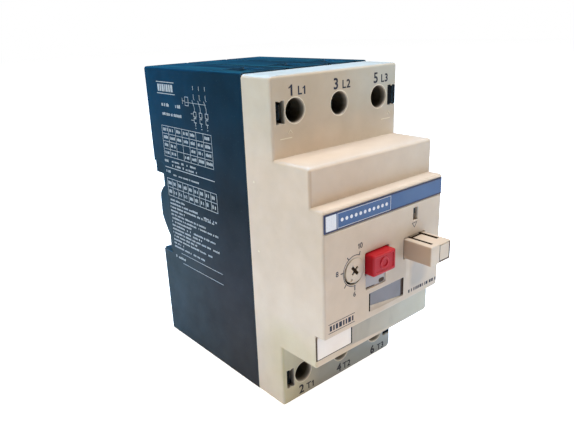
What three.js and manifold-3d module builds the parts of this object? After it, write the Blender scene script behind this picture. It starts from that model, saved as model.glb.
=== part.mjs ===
// Three-pole motor protection breaker with push buttons, for a 35 mm top-hat rail.
// Millimetres. X is the width, +Y points from the front panel to the mounting rail, +Z is up.
// The origin is the middle of the face that rests on the rail.
// Seen from the front, +X is on the right. Line terminals are above, load terminals below.
import * as THREE from "three";
import { mergeVertices } from "three/addons/utils/BufferGeometryUtils.js";
import Module from "manifold-3d";

const wasm = await Module();
wasm.setup();

// ---------------------------------------------------------------- driving dimensions
// Two numbers in brackets are a range along one axis.
const HALF_WIDTH = 30.7;
const BOTTOM = -59.5;
const BASE_TOP = 62.3;

// planes across Y, from the rail to the front
const BACK = 5.2;
const BASE_FLOOR = -3.0; // inner face of the base's back wall
const RIB_FRONT = -56.0;
const JOINT = -61.8; // where the base and the cover meet
const MECHANISM_PLATE = -70.5; // front of the plate
const TERMINAL_FACE = -76.85;
const STEP_FACE = -94.0; // upper step of the cover
const CHIN_FACE = -94.9; // lower step, with the marking plate
const FLANGE_FRONT = -97.0; // flanges of the controls, behind the panel
const PANEL_FACE = -99.45;

const WALL = 2.0; // side walls, and most walls of the cover
const INSIDE_HALF = HALF_WIDTH - WALL;
const RAIL_HALF = 17.7; // half of the rail channel's height
const RIB_X = 10.25; // dividing ribs between the poles
const OVER = 1; // how far a cutter runs past the face it opens
const GAP = 0.3; // clearance around fitted parts

const POLES = [-20.5, 0, 20.5]; // pole centres
const LINE_Z = 50.2; // axis of the line terminal screws
const LOAD_Z = -48.8; // axis of the load terminal screws

// snap hooks of the base and the slots they take in the cover, upper and lower
const CLIPS = [
  { hook: [47.7, 52.6], slot: [46.4, 53.9] },
  { hook: [-51.5, -46.2], slot: [-52.7, -45.0] },
];

const BAND = { x: [-30.1, 30.2], z: [15.4, 21.6], depth: 0.3 };
const LABEL = { x: [-29.7, -13.3], z: [-31.5, -22.9], depth: 0.5 };
const STOP = { x: [-11.0, 0.5], z: [-4.3, 3.3], front: -102.95 };
const START = { x: [9.4, 20.9], z: [-4.5, 2.9], front: -110.95 };
const BUTTON_BACK = -95.3;
const TONGUE = { x: [14.5, 20.1], z: [-3.7, 2.2], back: -97.8 };
const DIAL = { x: -16.4, z: -0.85, radius: 4.4, front: -98.9, back: -84.0 };
const TEST_KNOB_X = [14.4, 16.2];

const LATCH = { flangeHalf: 8.0, bodyHalf: 6.0, flangeY: [1.6, 3.3] };
const CARRIER_Z = [2.0, 9.0];
const ARM_Z = [3.5, 7.5]; // contact carrier's frames and post
const PIVOT = { y: -83.4, z: -14.0, radius: 1.2, bore: 1.3 };

// ---------------------------------------------------------------- helpers
const X = new THREE.Vector3(1, 0, 0);
const Y = new THREE.Vector3(0, 1, 0);
const Z = new THREE.Vector3(0, 0, 1);

const span = (middle, half) => [middle - half, middle + half];
const grow = ([from, to], by) => [from - by, to + by];
// A range on the right, as the pair of its mirror image on the left and itself.
const bothSides = ([from, to]) => [
  [-to, -from],
  [from, to],
];
const union = (first, ...rest) => rest.reduce((a, b) => a.add(b), first);
const cut = (first, ...rest) => rest.reduce((a, b) => a.subtract(b), first);

// A closed three.js geometry as a solid that can be joined and cut.
function solid(geometry) {
  const bare = new THREE.BufferGeometry()
    .setAttribute("position", geometry.getAttribute("position"))
    .setIndex(geometry.index);
  const merged = mergeVertices(bare, 1e-4);
  const index = merged.index.array;
  const triangles = [];
  for (let i = 0; i < index.length; i += 3) {
    const [a, b, c] = [index[i], index[i + 1], index[i + 2]];
    if (a !== b && b !== c && a !== c) triangles.push(a, b, c);
  }
  const make = () =>
    new wasm.Manifold(
      new wasm.Mesh({
        numProp: 3,
        vertProperties: new Float32Array(merged.attributes.position.array),
        triVerts: new Uint32Array(triangles),
      }),
    );
  const made = make();
  if (made.volume() > 0) return made;
  // the faces point inward, so turn every triangle over
  for (let i = 0; i < triangles.length; i += 3)
    [triangles[i + 1], triangles[i + 2]] = [triangles[i + 2], triangles[i + 1]];
  return make();
}

function box([x0, x1], [y0, y1], [z0, z1]) {
  const block = new THREE.BoxGeometry(x1 - x0, y1 - y0, z1 - z0);
  return solid(block.translate((x0 + x1) / 2, (y0 + y1) / 2, (z0 + z1) / 2));
}

// Cylinders along X and along Y.
function rodX(y, z, radius, [from, to], segments) {
  const rod = new THREE.CylinderGeometry(radius, radius, to - from, segments);
  return solid(rod.rotateZ(-Math.PI / 2).translate((from + to) / 2, y, z));
}

function rodY(x, z, radius, [from, to], segments) {
  const rod = new THREE.CylinderGeometry(radius, radius, to - from, segments);
  return solid(rod.translate(x, (from + to) / 2, z));
}

// A flat outline in the plane of two axes, pushed along the third.
function prism(outline, [from, to], across, up, along) {
  const shape = new THREE.Shape(outline.map(([a, b]) => new THREE.Vector2(a, b)));
  const geometry = new THREE.ExtrudeGeometry(shape, { depth: to - from, bevelEnabled: false });
  const placing = new THREE.Matrix4()
    .makeBasis(across, up, along)
    .setPosition(along.clone().multiplyScalar(from));
  return solid(geometry.applyMatrix4(placing));
}

// Outlines of (y, z) points pushed along X, and of (x, z) points pushed along Y.
const prismX = (outline, range) => prism(outline, range, Y, Z, X);
const prismY = (outline, range) =>
  prism(outline.map(([x, z]) => [z, x]), range, Z, X, Y);

// A rectangle in X and Z with rounded corners, radii in the order
// bottom left, bottom right, top right, top left.
function rounded([x0, x1], [z0, z1], radii, segments = 3) {
  // corner x and z, directions from it to the arc's centre, start angle
  const corners = [
    [x0, z0, 1, 1, Math.PI],
    [x1, z0, -1, 1, 1.5 * Math.PI],
    [x1, z1, -1, -1, 0],
    [x0, z1, 1, -1, 0.5 * Math.PI],
  ];
  return corners.flatMap(([x, z, inX, inZ, start], i) => {
    const radius = radii[i];
    const arc = [];
    for (let k = 0; k <= segments; k++) {
      const angle = start + (k / segments) * (Math.PI / 2);
      arc.push([
        x + inX * radius + radius * Math.cos(angle),
        z + inZ * radius + radius * Math.sin(angle),
      ]);
    }
    return arc;
  });
}

// A turned shape around Y at (x, z), from (radius, y) pairs.
function turned(x, z, profile, segments) {
  const points = profile.map(([radius, y]) => new THREE.Vector2(radius, y));
  return solid(new THREE.LatheGeometry(points, segments).translate(x, 0, z));
}

class Helix extends THREE.Curve {
  constructor(radius, length, turns) {
    super();
    Object.assign(this, { radius, length, turns });
  }
  getPoint(t, target = new THREE.Vector3()) {
    const angle = 2 * Math.PI * this.turns * t;
    return target.set(
      this.radius * Math.cos(angle),
      this.radius * Math.sin(angle),
      this.length * t,
    );
  }
}

// A coil spring along +Z from the origin, as a wire swept along a helix.
function coil({ radius, wire, length, turns }) {
  const stepsPerTurn = 10;
  const sides = 5;
  const section = [];
  for (let i = 0; i < sides; i++) {
    const angle = (2 * Math.PI * i) / sides;
    section.push(new THREE.Vector2(wire * Math.cos(angle), wire * Math.sin(angle)));
  }
  return new THREE.ExtrudeGeometry(new THREE.Shape(section), {
    steps: turns * stepsPerTurn,
    bevelEnabled: false,
    extrudePath: new Helix(radius, length, turns),
  });
}

// ---------------------------------------------------------------- materials
const NAVY = { color: 0x1e3346, roughness: 0.5 };
const BEIGE = { color: 0xcfc5b4, roughness: 0.55 };
const BLUE = { color: 0x4b6996, roughness: 0.4 };
const WHITE = { color: 0xeeeeea, roughness: 0.5 };
const GREY = { color: 0x8d96a3, roughness: 0.5 };
const RED = { color: 0xbe2332, roughness: 0.38 };
const PALE = { color: 0xd8cfbd, roughness: 0.5 };
const BLACK = { color: 0x1c1d20, roughness: 0.55 };
const FIBRE = { color: 0x9c8f78, roughness: 0.7 };
const ZINC = { color: 0xb5b6b3, roughness: 0.35, metalness: 1 };
const SPRING = { color: 0x8f9296, roughness: 0.3, metalness: 1 };
const COPPER = { color: 0xb8763f, roughness: 0.35, metalness: 1 };
const BRASS = { color: 0xc2a24f, roughness: 0.35, metalness: 1 };
const STEEL = { color: 0x9a9ea2, roughness: 0.4, metalness: 1 };

// ---------------------------------------------------------------- adding to the group
const part = new THREE.Group();

function addMesh(name, geometry, look) {
  geometry.computeVertexNormals();
  const mesh = new THREE.Mesh(geometry, new THREE.MeshStandardMaterial(look));
  mesh.name = name;
  part.add(mesh);
  return mesh;
}

function add(name, shape, look) {
  const { vertProperties, triVerts } = shape.getMesh();
  const geometry = new THREE.BufferGeometry()
    .setAttribute("position", new THREE.BufferAttribute(vertProperties, 3))
    .setIndex(new THREE.BufferAttribute(triVerts, 1));
  addMesh(name, geometry, look);
}

const TOWARD_FRONT = Math.PI / 2; // tilt about X that turns a spring from +Z to -Y

function addSpring(name, size, place, tilt = 0) {
  const mesh = addMesh(name, coil(size), SPRING);
  mesh.position.set(...place);
  mesh.rotation.x = tilt;
}

// ---------------------------------------------------------------- base
// A tray open to the front, with two ribs between the three poles.
function baseTray() {
  const cap = 2.5; // top and bottom walls
  const insideZ = [BOTTOM + cap, BASE_TOP - cap];
  const outline = rounded(span(0, HALF_WIDTH), [BOTTOM, BASE_TOP], [1, 1, 1, 1], 2);
  const ribs = bothSides(span(RIB_X, 1)).map((x) =>
    box(x, [RIB_FRONT, BASE_FLOOR + 1], grow(insideZ, 1)),
  );
  const carrierSlots = bothSides(span(RIB_X, 2)).map((x) =>
    box(x, [RIB_FRONT - OVER, -28.5], grow(CARRIER_Z, 0.8)),
  );
  const tray = cut(
    prismY(outline, [JOINT, BACK]),
    box(span(0, INSIDE_HALF), [JOINT - OVER, BASE_FLOOR], insideZ),
  );
  return cut(union(tray, ...ribs), ...carrierSlots);
}

// Rail channel: the middle pad carries the rail, the rest of its floor is a little deeper.
function withRailChannel(base) {
  const relief = HALF_WIDTH - 0.8; // recess in each side face
  // (y, z) outline of the hump at each end of the channel
  const hump = [
    [-1.5, 12.3], [0.2, 12.1], [4.3, 8.1], [4.6, 4.8],
    [4.8, -2.3], [2.6, -6.5], [-0.1, -10.6], [-1.5, -11.0],
  ];
  const channelled = cut(
    base,
    box(span(0, HALF_WIDTH + OVER), [-0.4, BACK + OVER], span(0, RAIL_HALF)),
    ...bothSides([relief, HALF_WIDTH + OVER]).map((x) =>
      box(x, [-3.2, BACK + OVER], [-18.2, 23]),
    ),
  );
  return union(
    channelled,
    box(span(0, 20), [-1.5, 0], span(0, 13)),
    ...bothSides([relief - 3, relief]).map((x) => prismX(hump, x)),
    // fixed hooks over the rail's upper edge
    ...bothSides([10, 24]).map((x) => box(x, [1.5, BACK], [14.0, RAIL_HALF + 1])),
  );
}

// Guide for the rail latch, with lips that hold its flanges, and the spring's stop in it.
function withLatchGuide(base) {
  const flangeY = grow(LATCH.flangeY, GAP);
  const z = [BOTTOM - OVER, -RAIL_HALF + 1];
  const guided = cut(
    base,
    box(span(0, LATCH.flangeHalf + GAP), flangeY, z),
    box(span(0, LATCH.bodyHalf + GAP), [flangeY[0], BACK + OVER], z),
  );
  return union(guided, box(span(0, 1.9), [0.5, 4.5], [-42.6, -40.6]));
}

// Snap hooks: feet on the side walls, arms toward the cover, and heads on the right ones.
function snapHooks() {
  const footY = [-61.5, -55];
  const armY = [TERMINAL_FACE + 1.1, -61.0];
  const headY = [TERMINAL_FACE + 0.4, TERMINAL_FACE + 3.6];
  return CLIPS.flatMap(({ hook }) => [
    ...bothSides([26.3, INSIDE_HALF + 0.3]).map((x) => box(x, footY, hook)),
    box([-28.3, -26.3], armY, hook),
    box([26.6, 28.3], armY, hook),
    box([26.2, 30.5], headY, grow(hook, 0.6)),
  ]);
}

// Barrier grooves over the ribs, in the top and bottom faces.
function barrierGrooves() {
  const depth = 1.8;
  return bothSides(span(RIB_X, 0.8)).flatMap((x) => [
    box(x, [JOINT - OVER, BACK + OVER], [BASE_TOP - depth, BASE_TOP + OVER]),
    box(x, [JOINT - OVER, -2.0], [BOTTOM - OVER, BOTTOM + depth]),
  ]);
}

// Wire entries, one per pole, above and below.
function wireEntries() {
  const y = [-55.0, -44.0];
  const depth = 4;
  return POLES.flatMap((pole) => {
    const x = span(pole, 4.6);
    return [
      box(x, y, [BASE_TOP - depth, BASE_TOP + OVER]),
      box(x, y, [BOTTOM - OVER, BOTTOM + depth]),
    ];
  });
}

function baseHousing() {
  const base = withLatchGuide(withRailChannel(baseTray()));
  return cut(union(base, ...snapHooks()), ...barrierGrooves(), ...wireEntries());
}

add("base_housing", baseHousing(), NAVY);

// ---------------------------------------------------------------- cover
// A stepped shell, open at the back: terminal faces, upper step, control panel and chin.
function coverShell() {
  const fullZ = [BOTTOM, 61.8];
  const stepZ = [-34.4, 35.4];
  const chinZ = [stepZ[0], -10];
  const panelZ = [-21.9, 22.9];
  const insideX = span(0, INSIDE_HALF);
  const block = (z, radii, y) => prismY(rounded(span(0, HALF_WIDTH), z, radii), y);
  return cut(
    union(
      block(fullZ, [1, 2.3, 1.4, 1.4], [TERMINAL_FACE, JOINT]),
      block(stepZ, [1, 1.5, 1, 1], [STEP_FACE, TERMINAL_FACE + 2]),
      block(chinZ, [1, 1.5, 0.5, 0.5], [CHIN_FACE, STEP_FACE + 2]),
      block(panelZ, [0.8, 1.3, 1, 1], [PANEL_FACE, STEP_FACE + 2]),
    ),
    box(insideX, [TERMINAL_FACE + WALL, JOINT + OVER], grow(fullZ, -WALL)),
    box(insideX, [STEP_FACE + WALL, JOINT], grow(stepZ, -WALL)),
    box(insideX, [PANEL_FACE + 2.2, STEP_FACE + 3], grow(panelZ, -WALL)),
  );
}

// Screwdriver holes, each with a collar that leads to its screw.
function withScrewHoles(cover) {
  const screws = POLES.flatMap((x) => [LINE_Z, LOAD_Z].map((z) => [x, z]));
  const collarY = [TERMINAL_FACE + 1, -67.5];
  const holeY = [TERMINAL_FACE - OVER, -66];
  return cut(
    union(cover, ...screws.map(([x, z]) => rodY(x, z, 5.2, collarY, 24))),
    ...screws.map(([x, z]) => rodY(x, z, 4.0, holeY, 24)),
  );
}

// Clip slots beside the terminals, the right ones open to the side.
function clipSlots() {
  const front = TERMINAL_FACE - OVER;
  const wallBack = TERMINAL_FACE + WALL;
  return CLIPS.flatMap(({ slot }) => [
    box([-28.6, -25.9], [front, wallBack + 0.5], slot),
    box([25.6, HALF_WIDTH + OVER], [front, wallBack + 2.5], slot),
  ]);
}

function controlOpenings() {
  const front = PANEL_FACE - OVER;
  const through = [front, PANEL_FACE + 4];
  const seat = ({ x, z, depth }, face) =>
    box(grow(x, GAP), [face - OVER, face + depth], grow(z, GAP));
  return [
    box(grow(STOP.x, GAP), through, grow(STOP.z, GAP)),
    box(grow(START.x, GAP), through, grow(START.z, GAP)),
    rodY(DIAL.x, DIAL.z, DIAL.radius + 0.2, through, 32),
    box(grow(TEST_KNOB_X, GAP), through, [8.7, 13.4]),
    box([-9.1, 9.7], through, [-19.4, -12.0]), // indicator window
    box([-10.8, -0.4], [front, PANEL_FACE + 1], [-10.0, -4.4]), // pocket under the stop button
    seat(BAND, PANEL_FACE),
    seat(LABEL, CHIN_FACE),
  ];
}

const cover = cut(withScrewHoles(coverShell()), ...clipSlots(), ...controlOpenings());
add("front_cover", cover, BEIGE);

const inlay = ({ x, z, depth }, face) => box(x, [face, face + depth], z);
add("front_band", inlay(BAND, PANEL_FACE), BLUE);
add("label_plate", inlay(LABEL, CHIN_FACE), WHITE);

// A pane in the window, on a wider plate behind it.
const windowInsert = () =>
  union(
    box([-10.0, 10.6], [-96.95, -96.2], [-19.6, -11.2]),
    box([-8.6, 9.4], [PANEL_FACE + 0.5, -96.9], [-19.1, -12.2]),
  );
add("window_insert", windowInsert(), GREY);

// ---------------------------------------------------------------- controls
const BUTTON_FLANGE_Y = [FLANGE_FRONT, BUTTON_BACK];

const buttonCap = ({ x, z, front }) =>
  prismY(rounded(x, z, [0.6, 0.6, 0.6, 0.6], 2), [front, BUTTON_BACK]);

const stopButton = () =>
  union(
    buttonCap(STOP),
    box([STOP.x[0] + 0.4, STOP.x[1] + 1.6], BUTTON_FLANGE_Y, grow(STOP.z, 1.7)),
    box([-9.5, -6.5], [-95.8, -84.6], [-2.5, 1.5]), // leg toward the latch lever
  );

const startButton = () =>
  cut(
    union(buttonCap(START), box(grow(START.x, 1.4), BUTTON_FLANGE_Y, grow(START.z, 1.5))),
    // pocket for the padlock tongue
    box(
      grow(TONGUE.x, GAP),
      [START.front - OVER, TONGUE.back + GAP],
      grow(TONGUE.z, 0.25),
    ),
  );

function padlockTongue() {
  const hole = { y: -105.0, z: (TONGUE.z[0] + TONGUE.z[1]) / 2, radius: 1.8 };
  return cut(
    box(TONGUE.x, [START.front, TONGUE.back], TONGUE.z),
    rodX(hole.y, hole.z, hole.radius, grow(TONGUE.x, OVER), 20),
  );
}

// Current-setting dial: cross-slotted head, retaining flange, stem and an off-centre cam.
function ratingDial() {
  const { x, z, radius, front, back } = DIAL;
  const flange = { radius: 5.0, back: -95.7 };
  const stemRadius = 2.0;
  const slotY = [front - OVER, front + 1];
  const slotHalf = { long: 1.8, short: 0.45 };
  const profile = [
    [0, front],
    [radius, front],
    [radius, FLANGE_FRONT],
    [flange.radius, FLANGE_FRONT],
    [flange.radius, flange.back],
    [stemRadius, flange.back],
    [stemRadius, back],
    [0, back],
  ];
  return cut(
    union(turned(x, z, profile, 28), rodY(x + 1, z, 3.0, [back - 2, back], 20)),
    box(span(x, slotHalf.long), slotY, span(z, slotHalf.short)),
    box(span(x, slotHalf.short), slotY, span(z, slotHalf.long)),
  );
}

// A small knob on a wider slide behind the panel.
const testSlide = () =>
  union(
    box(TEST_KNOB_X, [-98.7, -96.5], [10.9, 13.1]),
    box([12.8, 17.8], [FLANGE_FRONT, -96.0], [7.8, 15.6]),
  );

add("stop_button", stopButton(), RED);
add("start_button", startButton(), PALE);
add("padlock_tongue", padlockTongue(), PALE);
add("rating_dial", ratingDial(), PALE);
add("test_slide", testSlide(), BLACK);

// ---------------------------------------------------------------- rail latch
function railLatch() {
  const bottom = -58.5;
  const through = [0, 6];
  return cut(
    union(
      box(span(0, LATCH.flangeHalf), LATCH.flangeY, [bottom, -18.0]),
      box(span(0, LATCH.bodyHalf), [LATCH.flangeY[0], 4.9], [bottom, -14.0]),
    ),
    box(span(0, 2.4), through, [-46.6, -26.0]), // spring window
    box(span(0, 3.0), through, [-57.0, -53.5]), // screwdriver eye
  );
}

add("rail_latch", railLatch(), BLACK);
addSpring(
  "rail_latch_spring",
  { radius: 1.25, wire: 0.3, length: 13.4, turns: 6 },
  [0, 3.1, -40.0],
);

// ---------------------------------------------------------------- terminals
// Chamfered head with a cross recess, and a shank with a chamfered tip.
function terminalScrew(x, z) {
  // radius, y
  const profile = [
    [0, -70.5], [3.1, -70.5], [3.5, -70.1], [3.5, -67.9],
    [2.0, -67.9], [2.0, -55.4], [1.4, -54.8], [0, -54.8],
  ];
  const recessFront = -72;
  return cut(
    turned(x, z, profile, 16),
    box(span(x, 4), [recessFront, -69.3], span(z, 0.5)),
    box(span(x, 0.5), [recessFront, -69.7], span(z, 2.2)),
  );
}

// A clamp open above and below, with a hole in front for the screw.
const terminalCage = (x, z) =>
  cut(
    box(span(x, 5.5), [-58.7, -43.5], span(z, 4.8)),
    box(span(x, 4.2), [-56.7, -45.0], span(z, 9)),
    rodY(x, z, 2.3, [-60, -56], 16),
  );

POLES.forEach((x, i) => {
  for (const [side, z] of [
    ["line", LINE_Z],
    ["load", LOAD_Z],
  ]) {
    add(`${side}_screw_${i + 1}`, terminalScrew(x, z), ZINC);
    add(`${side}_cage_${i + 1}`, terminalCage(x, z), BRASS);
  }
});

// ---------------------------------------------------------------- poles
const BAR_HALF = 3.6; // half width of the fixed conductors
const TERMINAL_TAB_Y = [-54.5, -53.0]; // conductor ends in the cages
const FIXED_BAR_Y = [-19.0, -17.5]; // strips that carry the fixed contacts
const FIXED_TIP_Y = [-20.2, -18.5];
const TIP_HALF = 2.2;
const LINE_TIP_Z = [12.2, 16.8];
const LOAD_TIP_Z = [-5.8, -1.2];

// Line conductor with the upper fixed contact.
function lineContact(pole) {
  const x = span(pole, BAR_HALF);
  const shelfZ = [42.0, 43.5];
  return union(
    box(x, TERMINAL_TAB_Y, [shelfZ[0], 56.0]),
    box(x, [TERMINAL_TAB_Y[0], FIXED_BAR_Y[1]], shelfZ),
    box(x, FIXED_BAR_Y, [11.5, shelfZ[1]]),
    box(span(pole, TIP_HALF), FIXED_TIP_Y, LINE_TIP_Z),
  );
}

// Lower fixed contact with its lead to the coil.
const loadContact = (pole) =>
  union(
    box(span(pole, BAR_HALF), FIXED_BAR_Y, [-24.0, -0.5]),
    box(span(pole, TIP_HALF), FIXED_TIP_Y, LOAD_TIP_Z),
  );

// Load conductor from the bimetal to the lower terminal.
function loadBar(pole) {
  const x = span(pole, BAR_HALF);
  const shelfZ = [-42.0, -40.5];
  const footY = [-10.5, -9.0];
  return union(
    box(x, TERMINAL_TAB_Y, [-55.5, shelfZ[1]]),
    box(x, [TERMINAL_TAB_Y[0], footY[1]], shelfZ),
    box(x, footY, [shelfZ[0], -30.0]),
  );
}

// A blade standing forward from a wider foot.
function bimetal(pole) {
  const z = [-38.5, -30.5];
  return union(
    box(span(pole, 0.5), [-55.0, -11.0], z),
    box(span(pole, 3.0), [-12.2, -10.5], z),
  );
}

// Two side cheeks and the splitter plates between them.
function arcChute(pole) {
  const cheeks = bothSides([6.4, 7.2]).map(([from, to]) =>
    box([pole + from, pole + to], [-50, -22], [20.5, 40]),
  );
  const plates = [];
  for (let k = 0; k < 6; k++) {
    const rise = 3.2 * k;
    plates.push(box(span(pole, 6.6), [-48.5, -24], [21.5 + rise, 22.5 + rise]));
  }
  return union(...cheeks, ...plates);
}

const COIL_Z = -17.0; // axis of the magnetic trip

// Ribbed winding between two flanges, open down the middle, with a lug behind it.
function tripCoil(x) {
  const bore = 2.4;
  const flange = 6.5;
  const root = 5.2;
  const crest = 5.9;
  const [front, back] = [-48.0, -26.0];
  const profile = [
    [bore, front], [flange, front], [flange, -46.8], [root, -46.8],
  ];
  for (let k = 0; k < 5; k++) {
    const y = -46.6 + k * 3.84;
    profile.push([crest, y + 1.0], [crest, y + 2.8], [root, y + 3.8]);
  }
  profile.push([root, -27.2], [flange, -27.2], [flange, back], [bore, back], [bore, front]);
  return union(
    turned(x, COIL_Z, profile, 16),
    box(span(x, 3.0), [-26.5, -19.0], [COIL_Z - 6.0, COIL_Z - 3.2]),
  );
}

function plunger(x) {
  // radius, y
  const profile = [
    [0, -54.0], [3.0, -54.0], [3.0, -52.4],
    [2.0, -52.4], [2.0, -30.0], [0, -30.0],
  ];
  return turned(x, COIL_Z, profile, 16);
}

POLES.forEach((x, i) => {
  const n = i + 1;
  add(`line_contact_${n}`, lineContact(x), COPPER);
  add(`load_contact_${n}`, loadContact(x), COPPER);
  add(`load_bar_${n}`, loadBar(x), COPPER);
  add(`bimetal_${n}`, bimetal(x), STEEL);
  add(`arc_chute_${n}`, arcChute(x), FIBRE);
  add(`trip_coil_${n}`, tripCoil(x), COPPER);
  add(`plunger_${n}`, plunger(x), STEEL);
});

// ---------------------------------------------------------------- moving contacts
// A crossbar with a frame for each bridge, and a post that the mechanism pushes.
const contactCarrier = () =>
  cut(
    union(
      box(span(0, 27.5), [-40.0, -33.0], CARRIER_Z),
      box([13.0, 17.3], [-66.0, -39.0], ARM_Z),
      ...POLES.map((x) => box(span(x, 5.7), [-33.5, -24.0], ARM_Z)),
    ),
    ...POLES.map((x) => box(span(x, 4.1), [-33.0, -25.5], [0, 10])),
  );

// A bar with a contact tip near each end.
function bridge(pole) {
  const tipX = span(pole, TIP_HALF);
  const tipY = [-26.0, -24.5];
  return union(
    box(span(pole, 3.5), [-27.0, -25.5], [-6.5, 17.5]),
    box(tipX, tipY, LINE_TIP_Z),
    box(tipX, tipY, LOAD_TIP_Z),
  );
}

add("contact_carrier", contactCarrier(), BLACK);
POLES.forEach((x, i) => {
  add(`bridge_${i + 1}`, bridge(x), COPPER);
  addSpring(
    `contact_spring_${i + 1}`,
    { radius: 2.2, wire: 0.3, length: 4.7, turns: 3.5 },
    [x, -27.65, 5.5],
    TOWARD_FRONT,
  );
});

// ---------------------------------------------------------------- mechanism
const pivotRod = (radius, x) => rodX(PIVOT.y, PIVOT.z, radius, x, 24);

// A plate on four legs that stand on the ribs, with two ears for the latch pin.
function mechanismFrame() {
  const inPlate = MECHANISM_PLATE + 0.5; // where legs and ears root in the plate
  const legs = bothSides(span(RIB_X, 0.5)).flatMap((x) =>
    [
      [-17, -13],
      [10, 14],
    ].map((z) => box(x, [inPlate, RIB_FRONT], z)),
  );
  const ears = [-12.6, -4.6].map((left) => {
    const x = [left, left + 1.2];
    return cut(
      box(x, [-86.5, inPlate], [-17.5, -10.5]),
      pivotRod(PIVOT.bore, grow(x, OVER)),
    );
  });
  const plate = box([-14, 22], [MECHANISM_PLATE, MECHANISM_PLATE + 1], [-18, 14]);
  return union(plate, ...legs, ...ears);
}

// A hub on the pin, with an arm upward and a hooked tail toward the back.
function latchLever() {
  const x = [-9.7, -6.3];
  return cut(
    union(
      box(x, [-84.2, -82.6], [PIVOT.z, 1.0]),
      pivotRod(2.4, x),
      box(x, [PIVOT.y, -76.5], [-15.2, -13.4]),
      box(x, [-78.0, -76.5], [-15.2, -11.6]),
    ),
    pivotRod(PIVOT.bore, grow(x, OVER)),
  );
}

// A bar across the poles, with a finger beside each bimetal.
const tripBar = () =>
  union(
    box(span(0, 27), [-60.0, -57.5], [-38.0, -32.0]),
    ...POLES.map((x) => box([x + 0.9, x + 2.4], [-58.0, -52.0], [-37.0, -33.0])),
  );

add("mechanism_frame", mechanismFrame(), STEEL);
add("latch_pin", pivotRod(PIVOT.radius, [-13.2, -2.8]), ZINC);
add("latch_lever", latchLever(), STEEL);

const BUTTON_SPRING = { back: -71.25, length: 23.3 };
addSpring(
  "start_spring",
  { radius: 3.0, wire: 0.42, length: BUTTON_SPRING.length, turns: 7 },
  [15.15, BUTTON_SPRING.back, -0.8],
  TOWARD_FRONT,
);
addSpring(
  "stop_spring",
  { radius: 1.8, wire: 0.33, length: BUTTON_SPRING.length, turns: 8 },
  [-3.0, BUTTON_SPRING.back, -0.5],
  TOWARD_FRONT,
);

add("trip_bar", tripBar(), BLACK);

export default part;
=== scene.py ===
"""Looks of a three-pole motor protection breaker, built around its CAD frame.

The frame is in metres with +Z up. The front panel faces -Y and the rail side faces +Y. Line
terminals are at the top, load terminals at the foot, and the poles stand side by side along X.
Shapes are written in millimetres and scaled in make(); shader masks, lights and camera are in metres.
"""
import math
import random

import bmesh
import bpy
from mathutils import Matrix, Vector


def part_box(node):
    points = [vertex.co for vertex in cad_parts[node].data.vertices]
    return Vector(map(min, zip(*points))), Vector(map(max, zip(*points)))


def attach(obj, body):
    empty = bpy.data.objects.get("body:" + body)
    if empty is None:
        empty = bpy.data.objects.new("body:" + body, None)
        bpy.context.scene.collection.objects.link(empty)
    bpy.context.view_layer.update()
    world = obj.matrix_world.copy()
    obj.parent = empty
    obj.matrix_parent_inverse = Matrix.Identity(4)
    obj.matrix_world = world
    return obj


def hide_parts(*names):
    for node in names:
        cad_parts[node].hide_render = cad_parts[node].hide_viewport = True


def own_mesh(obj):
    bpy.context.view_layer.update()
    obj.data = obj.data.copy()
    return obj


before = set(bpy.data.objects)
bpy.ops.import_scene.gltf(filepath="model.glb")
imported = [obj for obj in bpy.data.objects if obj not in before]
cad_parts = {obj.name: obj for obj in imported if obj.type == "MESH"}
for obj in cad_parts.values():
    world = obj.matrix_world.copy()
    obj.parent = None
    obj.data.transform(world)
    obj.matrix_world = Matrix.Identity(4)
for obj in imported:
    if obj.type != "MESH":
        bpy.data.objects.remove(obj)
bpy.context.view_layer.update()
scene = bpy.context.scene
MM = 0.001
ROOT = "housing"
SIDES = (-1, 1)


# ------------------------------------------------------------------ the frame's sizes
def mm_box(node):
    """x0, x1, y0, y1, z0, z1 of a CAD node, in millimetres."""
    low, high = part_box(node)
    return [value / MM for pair in zip(low, high) for value in pair]


def centre(node):
    """x and z of the middle of a CAD node, in millimetres."""
    x0, x1, _, _, z0, z1 = mm_box(node)
    return (x0 + x1) / 2, (z0 + z1) / 2


_, HALF, _, BACK, BOTTOM, BASE_TOP = mm_box("base_housing")
_, _, PANEL, JOINT, _, COVER_TOP = mm_box("front_cover")  # front face; joint with the base
DECK = JOINT - 15.05  # face round the terminals
MIDDLE = JOINT - 32.2  # face between the deck and the panel
CHIN = mm_box("label_plate")[2]  # face of the chin below the panel
MIDDLE_TOP, PANEL_TOP, PANEL_BOTTOM, CHIN_BOTTOM = 35.4, 22.9, -21.9, -34.4
POLES = [centre(f"line_screw_{i}")[0] for i in (1, 2, 3)]
LINE_Z = centre("line_screw_1")[1]
LOAD_Z = centre("load_screw_1")[1]
SCREWS = [(x, z) for x in POLES for z in (LINE_Z, LOAD_Z)]
RIB_X = (POLES[1] + POLES[2]) / 2
DIAL_X, DIAL_Z = -16.4, centre("rating_dial")[1]


# ------------------------------------------------------------------ meshes and solids
def add_object(name, data):
    added = bpy.data.objects.new(name, data)
    scene.collection.objects.link(added)
    return added


def make(name, verts, faces):
    """A mesh object from millimetre points, with its faces turned outward."""
    mesh = bpy.data.meshes.new(name)
    mesh.from_pydata([(x * MM, y * MM, z * MM) for x, y, z in verts], [], faces)
    work = bmesh.new()
    work.from_mesh(mesh)
    bmesh.ops.remove_doubles(work, verts=work.verts, dist=2e-7)
    bmesh.ops.recalc_face_normals(work, faces=work.faces)
    work.to_mesh(mesh)
    work.free()
    return add_object(name, mesh)


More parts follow.
